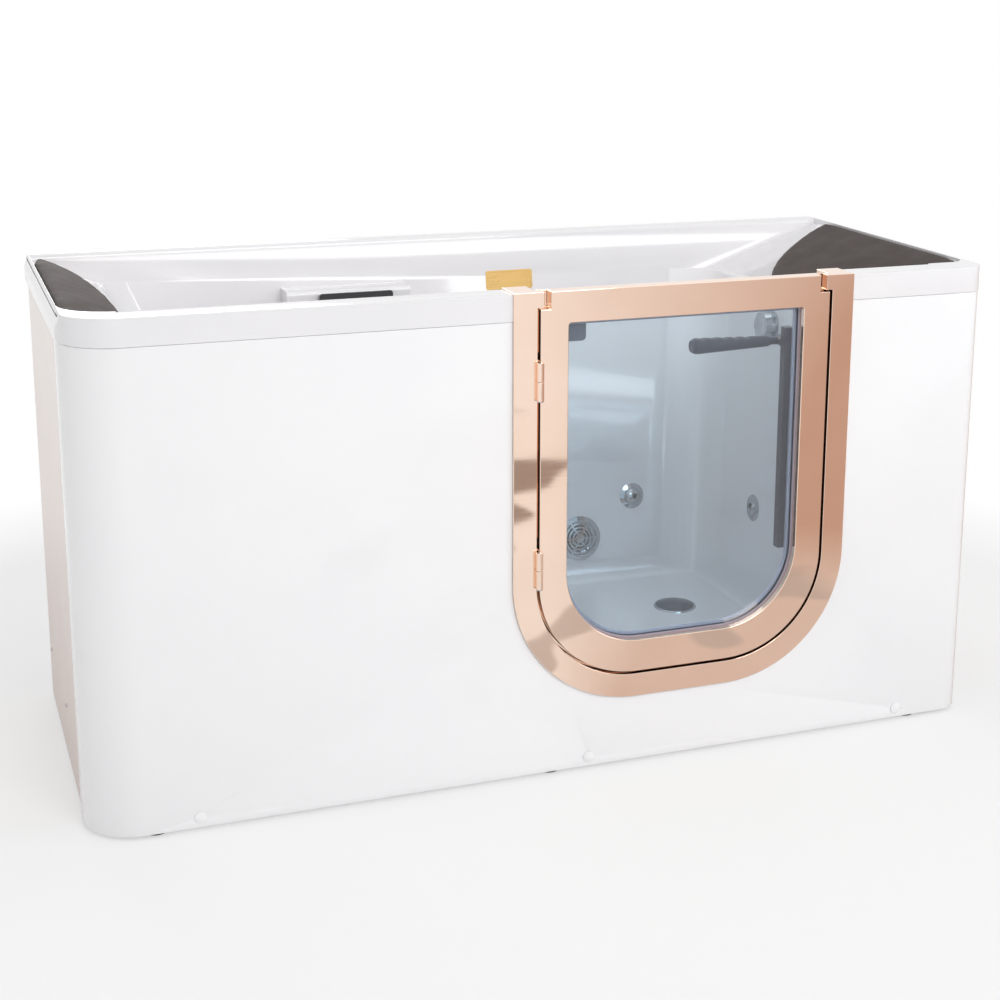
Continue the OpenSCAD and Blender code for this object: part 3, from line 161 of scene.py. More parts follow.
# Skin of moulded plastic, rubber or foam: small rounded cells with uneven depth
def makeSkin():
    group, given, result = newGroup(
        "mouldedSkin", [("Vector", "NodeSocketVector", (0, 0, 0)),
                        ("Scale", "NodeSocketFloat", 900.0)],
        [("Height", "NodeSocketFloat")])
    cells = group.nodes.new("ShaderNodeTexVoronoi")
    cells.feature = "SMOOTH_F1"
    group.links.new(given.outputs["Vector"], cells.inputs["Vector"])
    group.links.new(given.outputs["Scale"], cells.inputs["Scale"])
    slowScale = addMath(group, "MULTIPLY", given.outputs["Scale"], groupForm["slowTimes"])
    uneven = addNoise(group, given.outputs["Vector"], slowScale, groupForm["detail"])
    height = addMath(group, "MULTIPLY", cells.outputs["Distance"],
                     addMath(group, "ADD", uneven, groupForm["skinLift"]))
    group.links.new(height, result.inputs["Height"])
    return group


smudges, drift, lines, skin = makeSmudges(), makeDrift(), makeLines(), makeSkin()
print("shader groups made")


def startMaterial(name):
    material = bpy.data.materials.new(name)
    material.use_nodes = True
    tree = material.node_tree
    place = tree.nodes.new("ShaderNodeTexCoord").outputs["Object"]
    return material, tree, tree.nodes["Principled BSDF"], place


def useGroup(tree, group, place, **values):
    node = tree.nodes.new("ShaderNodeGroup")
    node.node_tree = group
    tree.links.new(place, node.inputs["Vector"])
    for label, value in values.items():
        node.inputs[label].default_value = value
    return node


def colourFrom(tree, shader, place, first, second, scale):
    node = useGroup(tree, drift, place, Scale=scale, First=(*first, 1), Second=(*second, 1))
    tree.links.new(node.outputs["Color"], shader.inputs["Base Color"])


def bumpFrom(tree, shader, height, strength, distance):
    bump = tree.nodes.new("ShaderNodeBump")
    bump.inputs["Strength"].default_value = strength
    bump.inputs["Distance"].default_value = distance
    tree.links.new(height, bump.inputs["Height"])
    tree.links.new(bump.outputs["Normal"], shader.inputs["Normal"])


# Cast acrylic: deep gloss, a slow waviness from forming, and a slight warm and cool drift
acrylicForm = {"drift": 2.2, "smudge": 6.0, "waves": 3.5, "waveDepth": 0.004, "ior": 1.49,
               "coat": 0.25, "coatRough": 0.03, "shadeFoot": 0.05, "shadeTop": 0.8}


def acrylic(name, first, second, low, high, wave):
    material, tree, shader, place = startMaterial(name)
    colourFrom(tree, shader, place, first, second, acrylicForm["drift"])
    gloss = useGroup(tree, smudges, place, Scale=acrylicForm["smudge"], Low=low, High=high)
    tree.links.new(gloss.outputs["Roughness"], shader.inputs["Roughness"])
    bumpFrom(tree, shader, addNoise(tree, place, acrylicForm["waves"], 1.0), wave,
             acrylicForm["waveDepth"])
    shader.inputs["IOR"].default_value = acrylicForm["ior"]
    shader.inputs["Coat Weight"].default_value = acrylicForm["coat"]
    shader.inputs["Coat Roughness"].default_value = acrylicForm["coatRough"]
    return material


# The end sheets: their beige is painted warm bounce light, and their darkening toward the floor is
# painted shade
def shadeGradedSheet(name, top, foot, low, high):
    material = acrylic(name, top, top, low, high, 0.0)
    tree = material.node_tree
    shader = tree.nodes["Principled BSDF"]
    place = tree.nodes["Texture Coordinate"].outputs["Object"]
    split, mix = tree.nodes.new("ShaderNodeSeparateXYZ"), tree.nodes.new("ShaderNodeMix")
    tree.links.new(place, split.inputs[0])
    mix.data_type = "RGBA"
    mix.inputs["A"].default_value = (*foot, 1)
    tree.links.new(shader.inputs["Base Color"].links[0].from_socket, mix.inputs["B"])
    # painted shade: the colour runs from the darker foot colour low down to the beige top colour
    # higher up
    height = addRange(tree, split.outputs["Z"], acrylicForm["shadeFoot"], acrylicForm["shadeTop"])
    tree.links.new(height, mix.inputs["Factor"])
    tree.links.new(mix.outputs["Result"], shader.inputs["Base Color"])
    return material


# Polished or brushed metal: colour, two roughness values and the run of the lines
metalForm = {"drift": 7.0, "smudge": 14.0, "depth": 0.0002}


def metal(name, first, second, low, high, stretch, strength, smudge=0.06):
    material, tree, shader, place = startMaterial(name)
    colourFrom(tree, shader, place, first, second, metalForm["drift"])
    shader.inputs["Metallic"].default_value = 1.0
    brushed = useGroup(tree, lines, place, Stretch=stretch, Low=low, High=high)
    marks = useGroup(tree, smudges, place, Scale=metalForm["smudge"], Low=0.0, High=smudge)
    rough = addMath(tree, "ADD", brushed.outputs["Roughness"], marks.outputs["Roughness"])
    tree.links.new(rough, shader.inputs["Roughness"])
    bumpFrom(tree, shader, brushed.outputs["Height"], strength, metalForm["depth"])
    return material


# Zinc coated steel: spangles of different brightness under a dull film
zincForm = {"spangles": 70.0, "spread": (0.2, 0.8), "rough": (0.34, 0.5), "metallic": 0.9,
            "grain": 60.0, "strength": 0.15, "depth": 0.0004}


def galvanised(name, first, second):
    material, tree, shader, place = startMaterial(name)
    cells = tree.nodes.new("ShaderNodeTexVoronoi")
    cells.inputs["Scale"].default_value = zincForm["spangles"]
    tree.links.new(place, cells.inputs["Vector"])
    grey = tree.nodes.new("ShaderNodeRGBToBW")
    tree.links.new(cells.outputs["Color"], grey.inputs[0])
    mix = tree.nodes.new("ShaderNodeMix")
    mix.data_type = "RGBA"
    mix.inputs["A"].default_value = (*first, 1)
    mix.inputs["B"].default_value = (*second, 1)
    tree.links.new(grey.outputs[0], mix.inputs["Factor"])
    tree.links.new(mix.outputs["Result"], shader.inputs["Base Color"])
    rough = addRange(tree, grey.outputs[0], *zincForm["spread"], *zincForm["rough"])
    tree.links.new(rough, shader.inputs["Roughness"])
    shader.inputs["Metallic"].default_value = zincForm["metallic"]
    bumpFrom(tree, shader, addNoise(tree, place, zincForm["grain"]), zincForm["strength"],
             zincForm["depth"])
    return material


# Moulded plastic, rubber or foam with a grained skin
mouldForm = {"drift": 11.0, "smudge": 18.0, "depth": 0.0003}


def moulded(name, first, second, low, high, grain, strength, shine=0.5):
    material, tree, shader, place = startMaterial(name)
    colourFrom(tree, shader, place, first, second, mouldForm["drift"])
    worn = useGroup(tree, smudges, place, Scale=mouldForm["smudge"], Low=low, High=high)
    tree.links.new(worn.outputs["Roughness"], shader.inputs["Roughness"])
    grained = useGroup(tree, skin, place, Scale=grain)
    bumpFrom(tree, shader, grained.outputs["Height"], strength, mouldForm["depth"])
    shader.inputs["Specular IOR Level"].default_value = shine
    return material


# Toughened glass with a faint blue body and a trace of wiping marks
glassForm = {"drift": 1.5, "smudge": 5.0, "marks": 0.02, "clear": 0.96, "ior": 1.5}


def glass(name, first, second):
    material, tree, shader, place = startMaterial(name)
    colourFrom(tree, shader, place, first, second, glassForm["drift"])
    marks = useGroup(tree, smudges, place, Scale=glassForm["smudge"], Low=0.0,
                     High=glassForm["marks"])
    tree.links.new(marks.outputs["Roughness"], shader.inputs["Roughness"])
    shader.inputs["Transmission Weight"].default_value = glassForm["clear"]
    shader.inputs["IOR"].default_value = glassForm["ior"]
    return material


# One finish for each material slot; each takes two close colours and two roughness values
finishes = {
    "acrylic": acrylic("castAcrylic", (0.86, 0.845, 0.855), (0.82, 0.81, 0.83), 0.13, 0.20, 0.05),
    "apron_acrylic": acrylic("apronAcrylic", (0.90, 0.895, 0.905), (0.87, 0.87, 0.885),
                             0.05, 0.12, 0.05),
    # end panel: the beige top colour is painted warm bounce light, the darker foot colour is
    # painted shade
    "end_panel": shadeGradedSheet("endPanelSheet", (0.88, 0.785, 0.745), (0.60, 0.475, 0.425),
                            0.34, 0.42),
    "frame_steel": galvanised("zincSteel", (0.30, 0.32, 0.34), (0.56, 0.58, 0.60)),
    "steel_fixings": metal("stainlessSteel", (0.52, 0.52, 0.54), (0.44, 0.44, 0.46), 0.16, 0.34,
                           (700, 700, 12), 0.12),
    "foot_plastic": moulded("footPlastic", (0.012, 0.012, 0.013), (0.022, 0.022, 0.024),
                            0.45, 0.6, 700.0, 0.25),
    "headrest_foam": moulded("skinnedFoam", (0.060, 0.045, 0.041), (0.050, 0.038, 0.034),
                             0.62, 0.78, 620.0, 0.25, 0.28),
    "door_metal": metal("roseGold", (0.94, 0.735, 0.61), (0.90, 0.69, 0.56), 0.02, 0.045,
                        (5, 5, 260), 0.02, 0.02),
    "seal_rubber": moulded("sealRubber", (0.075, 0.066, 0.082), (0.06, 0.053, 0.066), 0.4, 0.6,
                           1100.0, 0.2),
    "door_glass": glass("doorGlass", (0.725, 0.84, 0.915), (0.715, 0.83, 0.91)),
    "clamp_ring": moulded("paleMoulding", (0.80, 0.77, 0.88), (0.74, 0.71, 0.82), 0.25, 0.4,
                          1300.0, 0.12),
    "corner_pad": moulded("greyMoulding", (0.22, 0.21, 0.27), (0.18, 0.17, 0.22), 0.35, 0.5,
                          1300.0, 0.15),
    "lock_black": moulded("darkMoulding", (0.060, 0.059, 0.080), (0.045, 0.044, 0.061), 0.28, 0.42,
                          1200.0, 0.18),
    "grip_rubber": moulded("gripRubber", (0.075, 0.066, 0.095), (0.06, 0.052, 0.076), 0.42, 0.6,
                           850.0, 0.3),
    "white_pipe": moulded("pipePlastic", (0.74, 0.74, 0.71), (0.66, 0.66, 0.63), 0.3, 0.42,
                          1500.0, 0.1),
    "chrome": metal("polishedChrome", (0.50, 0.51, 0.53), (0.42, 0.43, 0.46), 0.06, 0.12,
                    (300, 300, 300), 0.02, 0.04),
    "plug_dark": metal("darkNickel", (0.12, 0.12, 0.14), (0.085, 0.085, 0.10), 0.14, 0.24,
                       (500, 500, 20), 0.06),
    "pump_plastic": moulded("pumpHousing", (0.014, 0.014, 0.016), (0.026, 0.026, 0.028),
                            0.4, 0.55, 800.0, 0.3),
    "motor_paint": moulded("motorPaint", (0.055, 0.068, 0.092), (0.045, 0.055, 0.075),
                           0.3, 0.45, 500.0, 0.35),
    "panel_black": acrylic("panelFace", (0.006, 0.006, 0.009), (0.011, 0.011, 0.015),
                           0.04, 0.1, 0.02),
    "box_plastic": moulded("boxPlastic", (0.62, 0.62, 0.59), (0.56, 0.56, 0.53), 0.4, 0.55,
                           900.0, 0.25),
}


def finish(piece, slot):
    piece.data.materials.clear()
    piece.data.materials.append(finishes[slot])


for node, slot in slotOf.items():
    finish(nodes[node], slot)
# The bead round the glass is paler than the door's own seal
nodes["glass_gasket"].data.materials[0] = moulded(
    "gasketRubber", (0.38, 0.36, 0.44), (0.34, 0.32, 0.395), 0.35, 0.5, 1100.0, 0.15)
print("materials given to", len(slotOf), "nodes")


# How nodes are copied and their edges eased: lengths in metres, angles in degrees; a profile of
# 0.5 is round
easeForm = {"merge": 2e-6, "sliver": 1e-6, "flat": 0.4, "smooth": 35, "hard": 40, "rimHard": 60,
            "normalWeight": 90, "profile": 0.5}


def addPiece(name, mesh, body, slot):
    piece = bpy.data.objects.new(name, mesh)
    bpy.context.scene.collection.objects.link(piece)
    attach(piece, body)
    finish(piece, slot)
    return piece


def fromBmesh(bm, name, body, slot, smoothAngle=easeForm["smooth"], flatFaces=True):
    mesh = bpy.data.meshes.new(name)
    bmesh.ops.recalc_face_normals(bm, faces=bm.faces)
    bm.to_mesh(mesh)
    bm.free()
    for face in mesh.polygons:
        face.use_smooth = True
    mesh.set_sharp_from_angle(angle=math.radians(smoothAngle))
    piece = addPiece(name, mesh, body, slot)
    if flatFaces:   # large faces keep an even shine up to their eased edges
        even = piece.modifiers.new("evenNormals", "WEIGHTED_NORMAL")
        even.mode, even.weight, even.keep_sharp = "FACE_AREA", easeForm["normalWeight"], True
    return piece


def mergedCopy(node):
    bm = bmesh.new()
    bm.from_mesh(nodes[node].data)
    bmesh.ops.remove_doubles(bm, verts=bm.verts, dist=easeForm["merge"])
    bmesh.ops.dissolve_degenerate(bm, dist=easeForm["sliver"], edges=bm.edges)
    return bm


# A copy of a node with its hard edges eased, as the real part's are. chosen says which edges,
# moved gives each point its new place first
def eased(node, name, width, segments, edgeAngle=easeForm["hard"], chosen=None, moved=None):
    bm = mergedCopy(node)
    if moved:
        for vert in bm.verts:
            vert.co = moved(vert.co)
    bmesh.ops.dissolve_limit(bm, angle_limit=math.radians(easeForm["flat"]), verts=bm.verts,
                             edges=bm.edges, delimit={"NORMAL"})
    hard = [e for e in bm.edges if len(e.link_faces) == 2
            and e.calc_face_angle(0) > math.radians(edgeAngle) and (chosen is None or chosen(e))]
    bmesh.ops.bevel(bm, geom=hard, offset=width, offset_type="OFFSET", segments=segments,
                    profile=easeForm["profile"], affect="EDGES", material=-1, clamp_overlap=True)
    piece = fromBmesh(bm, name, bodyOf[node], slotOf[node], flatFaces=moved is None)
    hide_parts(node)


def ringEdges(ring):
    found = set(ring["verts"])
    return [e for e in {e for v in found for e in v.link_edges} if set(e.verts) <= found]


# Screw heads with sockets; dome holds the shares of radius and height from rim to crown
headForm = {"clampRadius": 0.0045, "clampHeight": 0.0024, "clampSocket": 0.0017,
            "sideRadius": 0.005, "sideHeight": 0.0024, "sideSocket": 0.002, "depth": 0.0016,
            "sides": 24, "socketSides": 6,
            "dome": ((1.0, 0.0), (0.97, 0.45), (0.78, 0.85), (0.62, 1.0))}


def addScrewHead(bm, matrix, radius, height, socket):
    rings = [(headForm["sides"], radius * r, height * z) for r, z in headForm["dome"]]
    rings += [(headForm["socketSides"], socket, height),
              (headForm["socketSides"], socket, height - headForm["depth"])]
    rings = [bmesh.ops.create_circle(bm, segments=sides, radius=reach,
                                     matrix=matrix @ Matrix.Translation((0, 0, level)))
             for sides, reach, level in rings]
    for low, high in zip(rings, rings[1:]):
        bmesh.ops.bridge_loops(bm, edges=ringEdges(low) + ringEdges(high))
    bmesh.ops.contextual_create(bm, geom=rings[-1]["verts"])
    bmesh.ops.contextual_create(bm, geom=rings[0]["verts"])


# The loose parts of a node, each as its lowest and its highest corner
def looseBoxes(node):
    bm = mergedCopy(node)
    seen, boxes = set(), []
    for start in bm.verts:
        if start in seen:
            continue
        seen.add(start)
        wave, points = [start], []
        while wave:
            vert = wave.pop()
            points.append(vert.co.copy())
            for edge in vert.link_edges:
                other = edge.other_vert(vert)
                if other not in seen:
                    seen.add(other)
                    wave.append(other)
        boxes.append((Vector(map(min, *points)), Vector(map(max, *points))))
    bm.free()
    return boxes


# The rim as photographed: its right front corner is tighter than the solid's, and the strips
# beyond the pads are narrower. Lengths in metres, tilts in degrees; radius, strip, front and deck
# are the solid's, skin is how far in from the corner the outer walls reach, the lip values say
# which points belong to the opening's corner, and low and deep how far below the rim they lie
rimForm = {"radius": 0.095, "strip": 0.012, "front": 0.060, "deck": 0.012,
           "rightOuter": 0.042, "rightInner": 0.032, "newStrip": 0.0088, "stripZone": 0.060,
           "skin": 0.0105, "lipFront": 0.007, "lipIn": 0.002, "lipOut": 0.0075, "slack": 0.001,
           "stripSlack": 0.0005, "low": 0.045, "deep": 0.2, "tilts": {-1: 21.0, 1: 18.0}}
shellLow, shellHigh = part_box("tub_shell")
rimTop = shellHigh.z


# Distance from the centre of a square of this half width to its edge, its corners rounded
def squareReach(across, along, half, radius):
    length = math.hypot(across, along)
    across, along, inner = across / length, along / length, half - radius
    for one, other in ((across, along), (along, across)):
        if one > 0 and half / one * other <= inner:
            return half / one
    middle = inner * (across + along)
    return middle + math.sqrt(max(0.0, middle * middle - 2 * inner * inner + radius * radius))


# A point's new place: the right front corner drawn out, the end strips drawn in
def reshapedRim(point):
    side = 1 if point.x > 0 else -1
    a, b, z = shellHigh.x - abs(point.x), point.y - shellLow.y, point.z
    start, radius = a, rimForm["radius"]
    corner = math.hypot(radius - a, radius - b)
    outer = a < radius and b < radius and corner > radius - rimForm["skin"]
    inside = radius - rimForm["strip"]
    if side > 0 and outer:
        across, along = radius - a, radius - b
        grown = 1 + (squareReach(across, along, radius, rimForm["rightOuter"]) - radius) / corner
        a, b = radius - across * grown, radius - along * grown
    elif (side > 0 and a < radius and z > rimTop - rimForm["deep"]
          and rimForm["front"] - rimForm["lipFront"] < b):
        across, along = radius - a, rimForm["front"] + inside - b
        far = math.hypot(across, along)
        if (rimForm["slack"] < along
                and inside - rimForm["lipIn"] < far < inside + rimForm["lipOut"]):
            grown = 1 + (squareReach(across, along, inside, rimForm["rightInner"]) - inside) / far
            a, b = radius - across * grown, rimForm["front"] + inside - along * grown
    if not outer and z > rimTop - rimForm["low"]:
        strip, new, zone = rimForm["strip"], rimForm["newStrip"], rimForm["stripZone"]
        if strip - rimForm["stripSlack"] < a < zone:
            a = new + (a - strip) * (zone - new) / (zone - strip)
    if z < rimTop - rimForm["slack"] and not outer:   # stays on the sloping deck
        z += (start - a) * math.tan(math.radians(rimForm["tilts"][side]))
    return Vector((side * (shellHigh.x - a), b + shellLow.y, z))


# Headrests: skinned foam blown up by cloth pressure, held flat on its deck. The outline is a
# straight edge at the strip and a bulging arc; u runs down the deck and v along Y, in metres.
# layers holds the outline's share and the height at each step up
padForm = {"voxel": 0.0045, "pressure": 2.6, "quality": 5, "frames": 16, "rise": 0.0022,
           "flatShare": 0.55, "upperShare": 0.2, "easeRounds": 3, "easeFactor": 0.5, "fill": 0.85,
           "gap": 0.0008, "lift": 5e-5, "steps": 96, "halvings": 24, "reach": 0.6, "foot": 0.98,
           "centre": (0.42, -0.01),
           "layers": ((1.0, 0.0055), (0.997, 0.0095), (0.984, 0.0122), (0.963, 0.0128),
                      (0.81, 0.0141), (0.58, 0.0157), (0.31, 0.0169), (0.08, 0.0173))}
padShapes = {
    "headrest_left": {"name": "headrestLeftPad", "side": -1, "depth": 0.121, "middle": -0.060,
                      "back": 0.368, "front": 0.370, "power": 2.4, "root": 0.42, "corner": 0.080},
    "headrest_right": {"name": "headrestRightPad", "side": 1, "depth": 0.270, "middle": -0.040,
                       "back": 0.298, "front": 0.285, "power": 2.0, "root": 0.75, "corner": 0.032}}


# Whether a place on the deck lies under the pad
def insidePad(shape, u, v):
    lean = math.cos(math.radians(rimForm["tilts"][shape["side"]]))
    front = -(shellHigh.y - shellLow.y) / 2 + rimForm["front"] + padForm["gap"] * 2
    span = shape["back"] if v > shape["middle"] else shape["front"]
    share = abs(v - shape["middle"]) / span
    if u < 0 or v < front or share > 1:
        return False
    if u > shape["depth"] * (1 - share ** shape["power"]) ** shape["root"]:
        return False
    across, along = shape["corner"] - u * lean, front + shape["corner"] - v
    return not (across > 0 and along > 0
                and math.hypot(across, along) > shape["corner"] - padForm["gap"])


# The pad before cloth: its outline as one face, extruded up in steps that close in on the middle,
# and the way down to the deck
def padBlank(shape):
    middle = Vector((shape["depth"] * padForm["centre"][0], padForm["centre"][1]))
    bm = bmesh.new()
    bmesh.ops.create_circle(bm, cap_ends=True, segments=padForm["steps"], radius=1)
    for vert in bm.verts:   # drawn in to the outline
        way, near, far = vert.co.xy, 0.0, padForm["reach"]
        for _ in range(padForm["halvings"]):
            half = (near + far) / 2
            if insidePad(shape, *(middle + way * half)):
                near = half
            else:
                far = half
        vert.co.xy = way * near * padForm["foot"]
    before = padForm["foot"]
    for share, height in padForm["layers"]:
        top = max(bm.faces, key=lambda f: f.calc_center_median().z)
        grown = bmesh.ops.extrude_face_region(bm, geom=[top])["geom"]
        risen = [item for item in grown if isinstance(item, bmesh.types.BMVert)]
        bmesh.ops.scale(bm, vec=(share / before, share / before, 1), verts=risen)
        for vert in risen:
            vert.co.z = height
        before = share
    side, tilt = shape["side"], math.radians(rimForm["tilts"][shape["side"]])
    strip = rimForm["newStrip"] + padForm["gap"]
    rise = (rimTop - rimForm["deck"] + padForm["lift"]
            + (rimForm["strip"] - strip) * math.tan(tilt))
    slope = Matrix(((-side * math.cos(tilt), 0, -side * math.sin(tilt),
                     side * (shellHigh.x - strip)),
                    (0, 1, 0, (shellLow.y + shellHigh.y) / 2),
                    (-math.sin(tilt), 0, math.cos(tilt), rise), (0, 0, 0, 1)))
    bmesh.ops.transform(bm, verts=bm.verts,
                        matrix=slope @ Matrix.Translation((middle.x, middle.y, 0)))
    bmesh.ops.recalc_face_normals(bm, faces=bm.faces)
    return bm, -slope.to_3x3().col[2]


# A piece's mesh as its modifiers leave it
def shownMesh(piece, name):
    bpy.context.view_layer.update()
    graph = bpy.context.evaluated_depsgraph_get()
    mesh = bpy.data.meshes.new_from_object(piece.evaluated_get(graph))
    mesh.name = name
    return mesh


def makePad(node, shape):
    name = shape["name"]
    bm, down = padBlank(shape)
    start = bpy.data.meshes.new(name + "Start")
    bm.to_mesh(start)
    bm.free()
    blank = bpy.data.objects.new(name + "Blank", start)
    bpy.context.scene.collection.objects.link(blank)
    remesh = blank.modifiers.new("even", "REMESH")
    remesh.mode = "VOXEL"
    remesh.voxel_size = padForm["voxel"]
    pad = bpy.data.objects.new(name, shownMesh(blank, name))
    bpy.context.scene.collection.objects.link(pad)
    bpy.data.objects.remove(blank)
    floorLevel = max(v.co.dot(down) for v in pad.data.vertices)
    before = [v.co.copy() for v in pad.data.vertices]
    held = pad.vertex_groups.new(name="held")
    held.add([v.index for v in pad.data.vertices
              if v.normal.dot(down) > padForm["flatShare"]], 1.0, "REPLACE")
    cloth = pad.modifiers.new("blow", "CLOTH")
    cloth.settings.use_pressure = True
    cloth.settings.uniform_pressure_force = padForm["pressure"]
    cloth.settings.effector_weights.gravity = 0
    cloth.settings.vertex_group_mass = "held"
    cloth.settings.quality = padForm["quality"]
    cloth.point_cache.frame_start, cloth.point_cache.frame_end = 1, padForm["frames"]
    for step in range(1, padForm["frames"] + 1):
        bpy.context.scene.frame_set(step)
    blown = shownMesh(pad, name + "Blown")
    pad.modifiers.clear()
    pad.vertex_groups.clear()
    for vert, was, now in zip(pad.data.vertices, before, blown.vertices):
        move = now.co - was
        if move.length > padForm["rise"]:
            move = move.normalized() * padForm["rise"]
        vert.co = was + move * max(0.0, -vert.normal.dot(down))
    bpy.data.meshes.remove(blown)
    bpy.context.scene.frame_set(1)
    bm = bmesh.new()
    bm.from_mesh(pad.data)
    upper = [v for v in bm.verts if v.normal.dot(down) < padForm["upperShare"]]
    for _ in range(padForm["easeRounds"]):
        bmesh.ops.smooth_vert(bm, verts=upper, factor=padForm["easeFactor"], use_axis_x=True,
                              use_axis_y=True, use_axis_z=True)
    for vert in bm.verts:   # nothing sinks into the deck
        below = vert.co.dot(down) - floorLevel
        if below > 0:
            vert.co -= down * below
    bm.to_mesh(pad.data)
    bm.free()
    for face in pad.data.polygons:
        face.use_smooth = True
    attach(pad, bodyOf[node])
    finish(pad, slotOf[node])
    smooth = pad.modifiers.new("smooth", "SUBSURF")
    smooth.levels = smooth.render_levels = 1
    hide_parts(node)


for node, shape in padShapes.items():
    makePad(node, shape)
print("headrests made")

# Tub shell: only the rim's outer edge is eased, the rest shades smoothly
tubForm = {"edge": 0.0025, "segments": 3, "topBand": 0.0015, "rimBand": 0.001,
           "apronEdge": 0.0008, "apronSegments": 2}


# How far a point lies inside the tub's outline, with its two rounded front corners
def rimGap(point):
    a, b = shellHigh.x - abs(point.x), point.y - shellLow.y
    radius = rimForm["rightOuter"] if point.x > 0 else rimForm["radius"]
    if a < radius and b < radius:
        return radius - math.hypot(radius - a, radius - b)
    return min(a, b, shellHigh.y - point.y)


def onOutside(edge):
    return all(vert.co.z > rimTop - tubForm["topBand"] and rimGap(vert.co) < tubForm["rimBand"]
               for vert in edge.verts)


eased("tub_shell", "tubShell", tubForm["edge"], tubForm["segments"], easeForm["rimHard"],
      onOutside, reshapedRim)
eased("front_apron", "frontApron", tubForm["apronEdge"], tubForm["apronSegments"],
      easeForm["rimHard"], None, reshapedRim)
print("shell and apron eased")

# Door, frame and hardware: (name, width of the eased edge in metres, segments)
easedParts = {
    "door_frame": ("doorFrame", 0.0011, 3), "door_leaf": ("doorLeaf", 0.0014, 3),
    "hinge_frame_halves": ("hingeFrameHalves", 0.0006, 2),
    "hinge_door_halves": ("hingeDoorHalves", 0.0006, 2), "hinge_pins": ("hingePins", 0.0004, 2),
    "glass_clamp_ring": ("glassClampRing", 0.0012, 3),
    "glass_corner_pad": ("cornerPad", 0.0015, 3),
    "lock_rail": ("lockRail", 0.0015, 3), "slide_bar": ("slideBar", 0.0005, 2),
    "bar_guides": ("barGuides", 0.0005, 2), "lock_keepers": ("lockKeepers", 0.0007, 2),
    "lock_lever": ("lockLever", 0.0012, 3), "lever_grip": ("leverGrip", 0.0016, 3),
    "control_panel": ("controlPanel", 0.0012, 3), "control_box": ("controlBox", 0.002, 2),
    "jet_bezels": ("jetBezels", 0.0007, 2), "suction_cover": ("suctionCover", 0.0005, 2),
    "overflow_plate": ("overflowPlate", 0.0005, 2), "overflow_knob": ("overflowKnob", 0.0012, 3),
    "drain_flange": ("drainFlange", 0.0005, 2), "drain_plug": ("drainPlug", 0.0007, 2),
    "pump_volute": ("pumpVolute", 0.0012, 2), "apron_screw_caps": ("apronCaps", 0.0006, 2),
    "levelling_feet": ("levellingFeet", 0.001, 2),
}
easedParts.update({f"jet_nozzle_{i}": (f"jetNozzle{i}", 0.0005, 2) for i in range(1, 7)})
for node, (name, width, segments) in easedParts.items():
    eased(node, name, width, segments)
print("hardware eased:", len(easedParts), "parts")


# The heads stand in for the plain domes of a node
def addHeads(node, name, radius, height, socket, direction):
    bm = bmesh.new()
    for low, high in looseBoxes(node):
        seat = (low + high) / 2
        way = direction(seat)
        axis = max(range(3), key=lambda i: abs(way[i]))
        seat[axis] = (high[axis] - height) if way[axis] > 0 else (low[axis] + height)
        turn = way.to_track_quat("Z", "Y").to_matrix().to_4x4()
        addScrewHead(bm, Matrix.Translation(seat) @ turn, radius, height, socket)
    piece = fromBmesh(bm, name, bodyOf[node], slotOf[node])
    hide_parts(node)


addHeads("clamp_screws", "clampScrewHeads", headForm["clampRadius"], headForm["clampHeight"],
         headForm["clampSocket"], lambda seat: Vector((0, 1, 0)))
addHeads("side_screws", "sideScrewHeads", headForm["sideRadius"], headForm["sideHeight"],
         headForm["sideSocket"], lambda seat: Vector((1 if seat.x > 0 else -1, 0, 0)))
print("screw heads made")

# Blank satin gold plate on the back wall, above the seat
plateForm = {"middle": (0.118, 0.3154, 0.803), "size": (0.102, 0.040, 0.0012), "lean": 7.9,
             "corner": 0.005, "cornerSegments": 5, "border": 0.0035, "step": 0.0005,
             "press": 0.0003, "smooth": 12}
goldSatin = metal("goldSatin", (0.74, 0.49, 0.19), (0.67, 0.43, 0.15), 0.22, 0.34,
                  (6, 900, 900), 0.08)
bm = bmesh.new()
bmesh.ops.create_cube(bm, size=1.0, matrix=Matrix.Diagonal((*plateForm["size"], 1)))
upright = [e for e in bm.edges if e.verts[0].co.z * e.verts[1].co.z < 0]
bmesh.ops.bevel(bm, geom=upright, offset=plateForm["corner"], offset_type="OFFSET",
                segments=plateForm["cornerSegments"], profile=easeForm["profile"],
                affect="EDGES", material=-1)
face = max(bm.faces, key=lambda f: f.calc_center_median().z)
bmesh.ops.inset_region(bm, faces=[face], thickness=plateForm["border"], use_even_offset=True)
bmesh.ops.inset_region(bm, faces=[face], thickness=plateForm["step"],
                       depth=-plateForm["press"], use_even_offset=True)
stand = (Matrix.Translation(plateForm["middle"])
         @ Matrix.Rotation(math.radians(90 - plateForm["lean"]), 4, "X")
         @ Matrix.Translation((0, 0, plateForm["size"][2] / 2)))
bmesh.ops.transform(bm, matrix=stand, verts=bm.verts)
plate = fromBmesh(bm, "wallPlate", "tub", "steel_fixings", plateForm["smooth"])
plate.data.materials[0] = goldSatin
print("plate made")

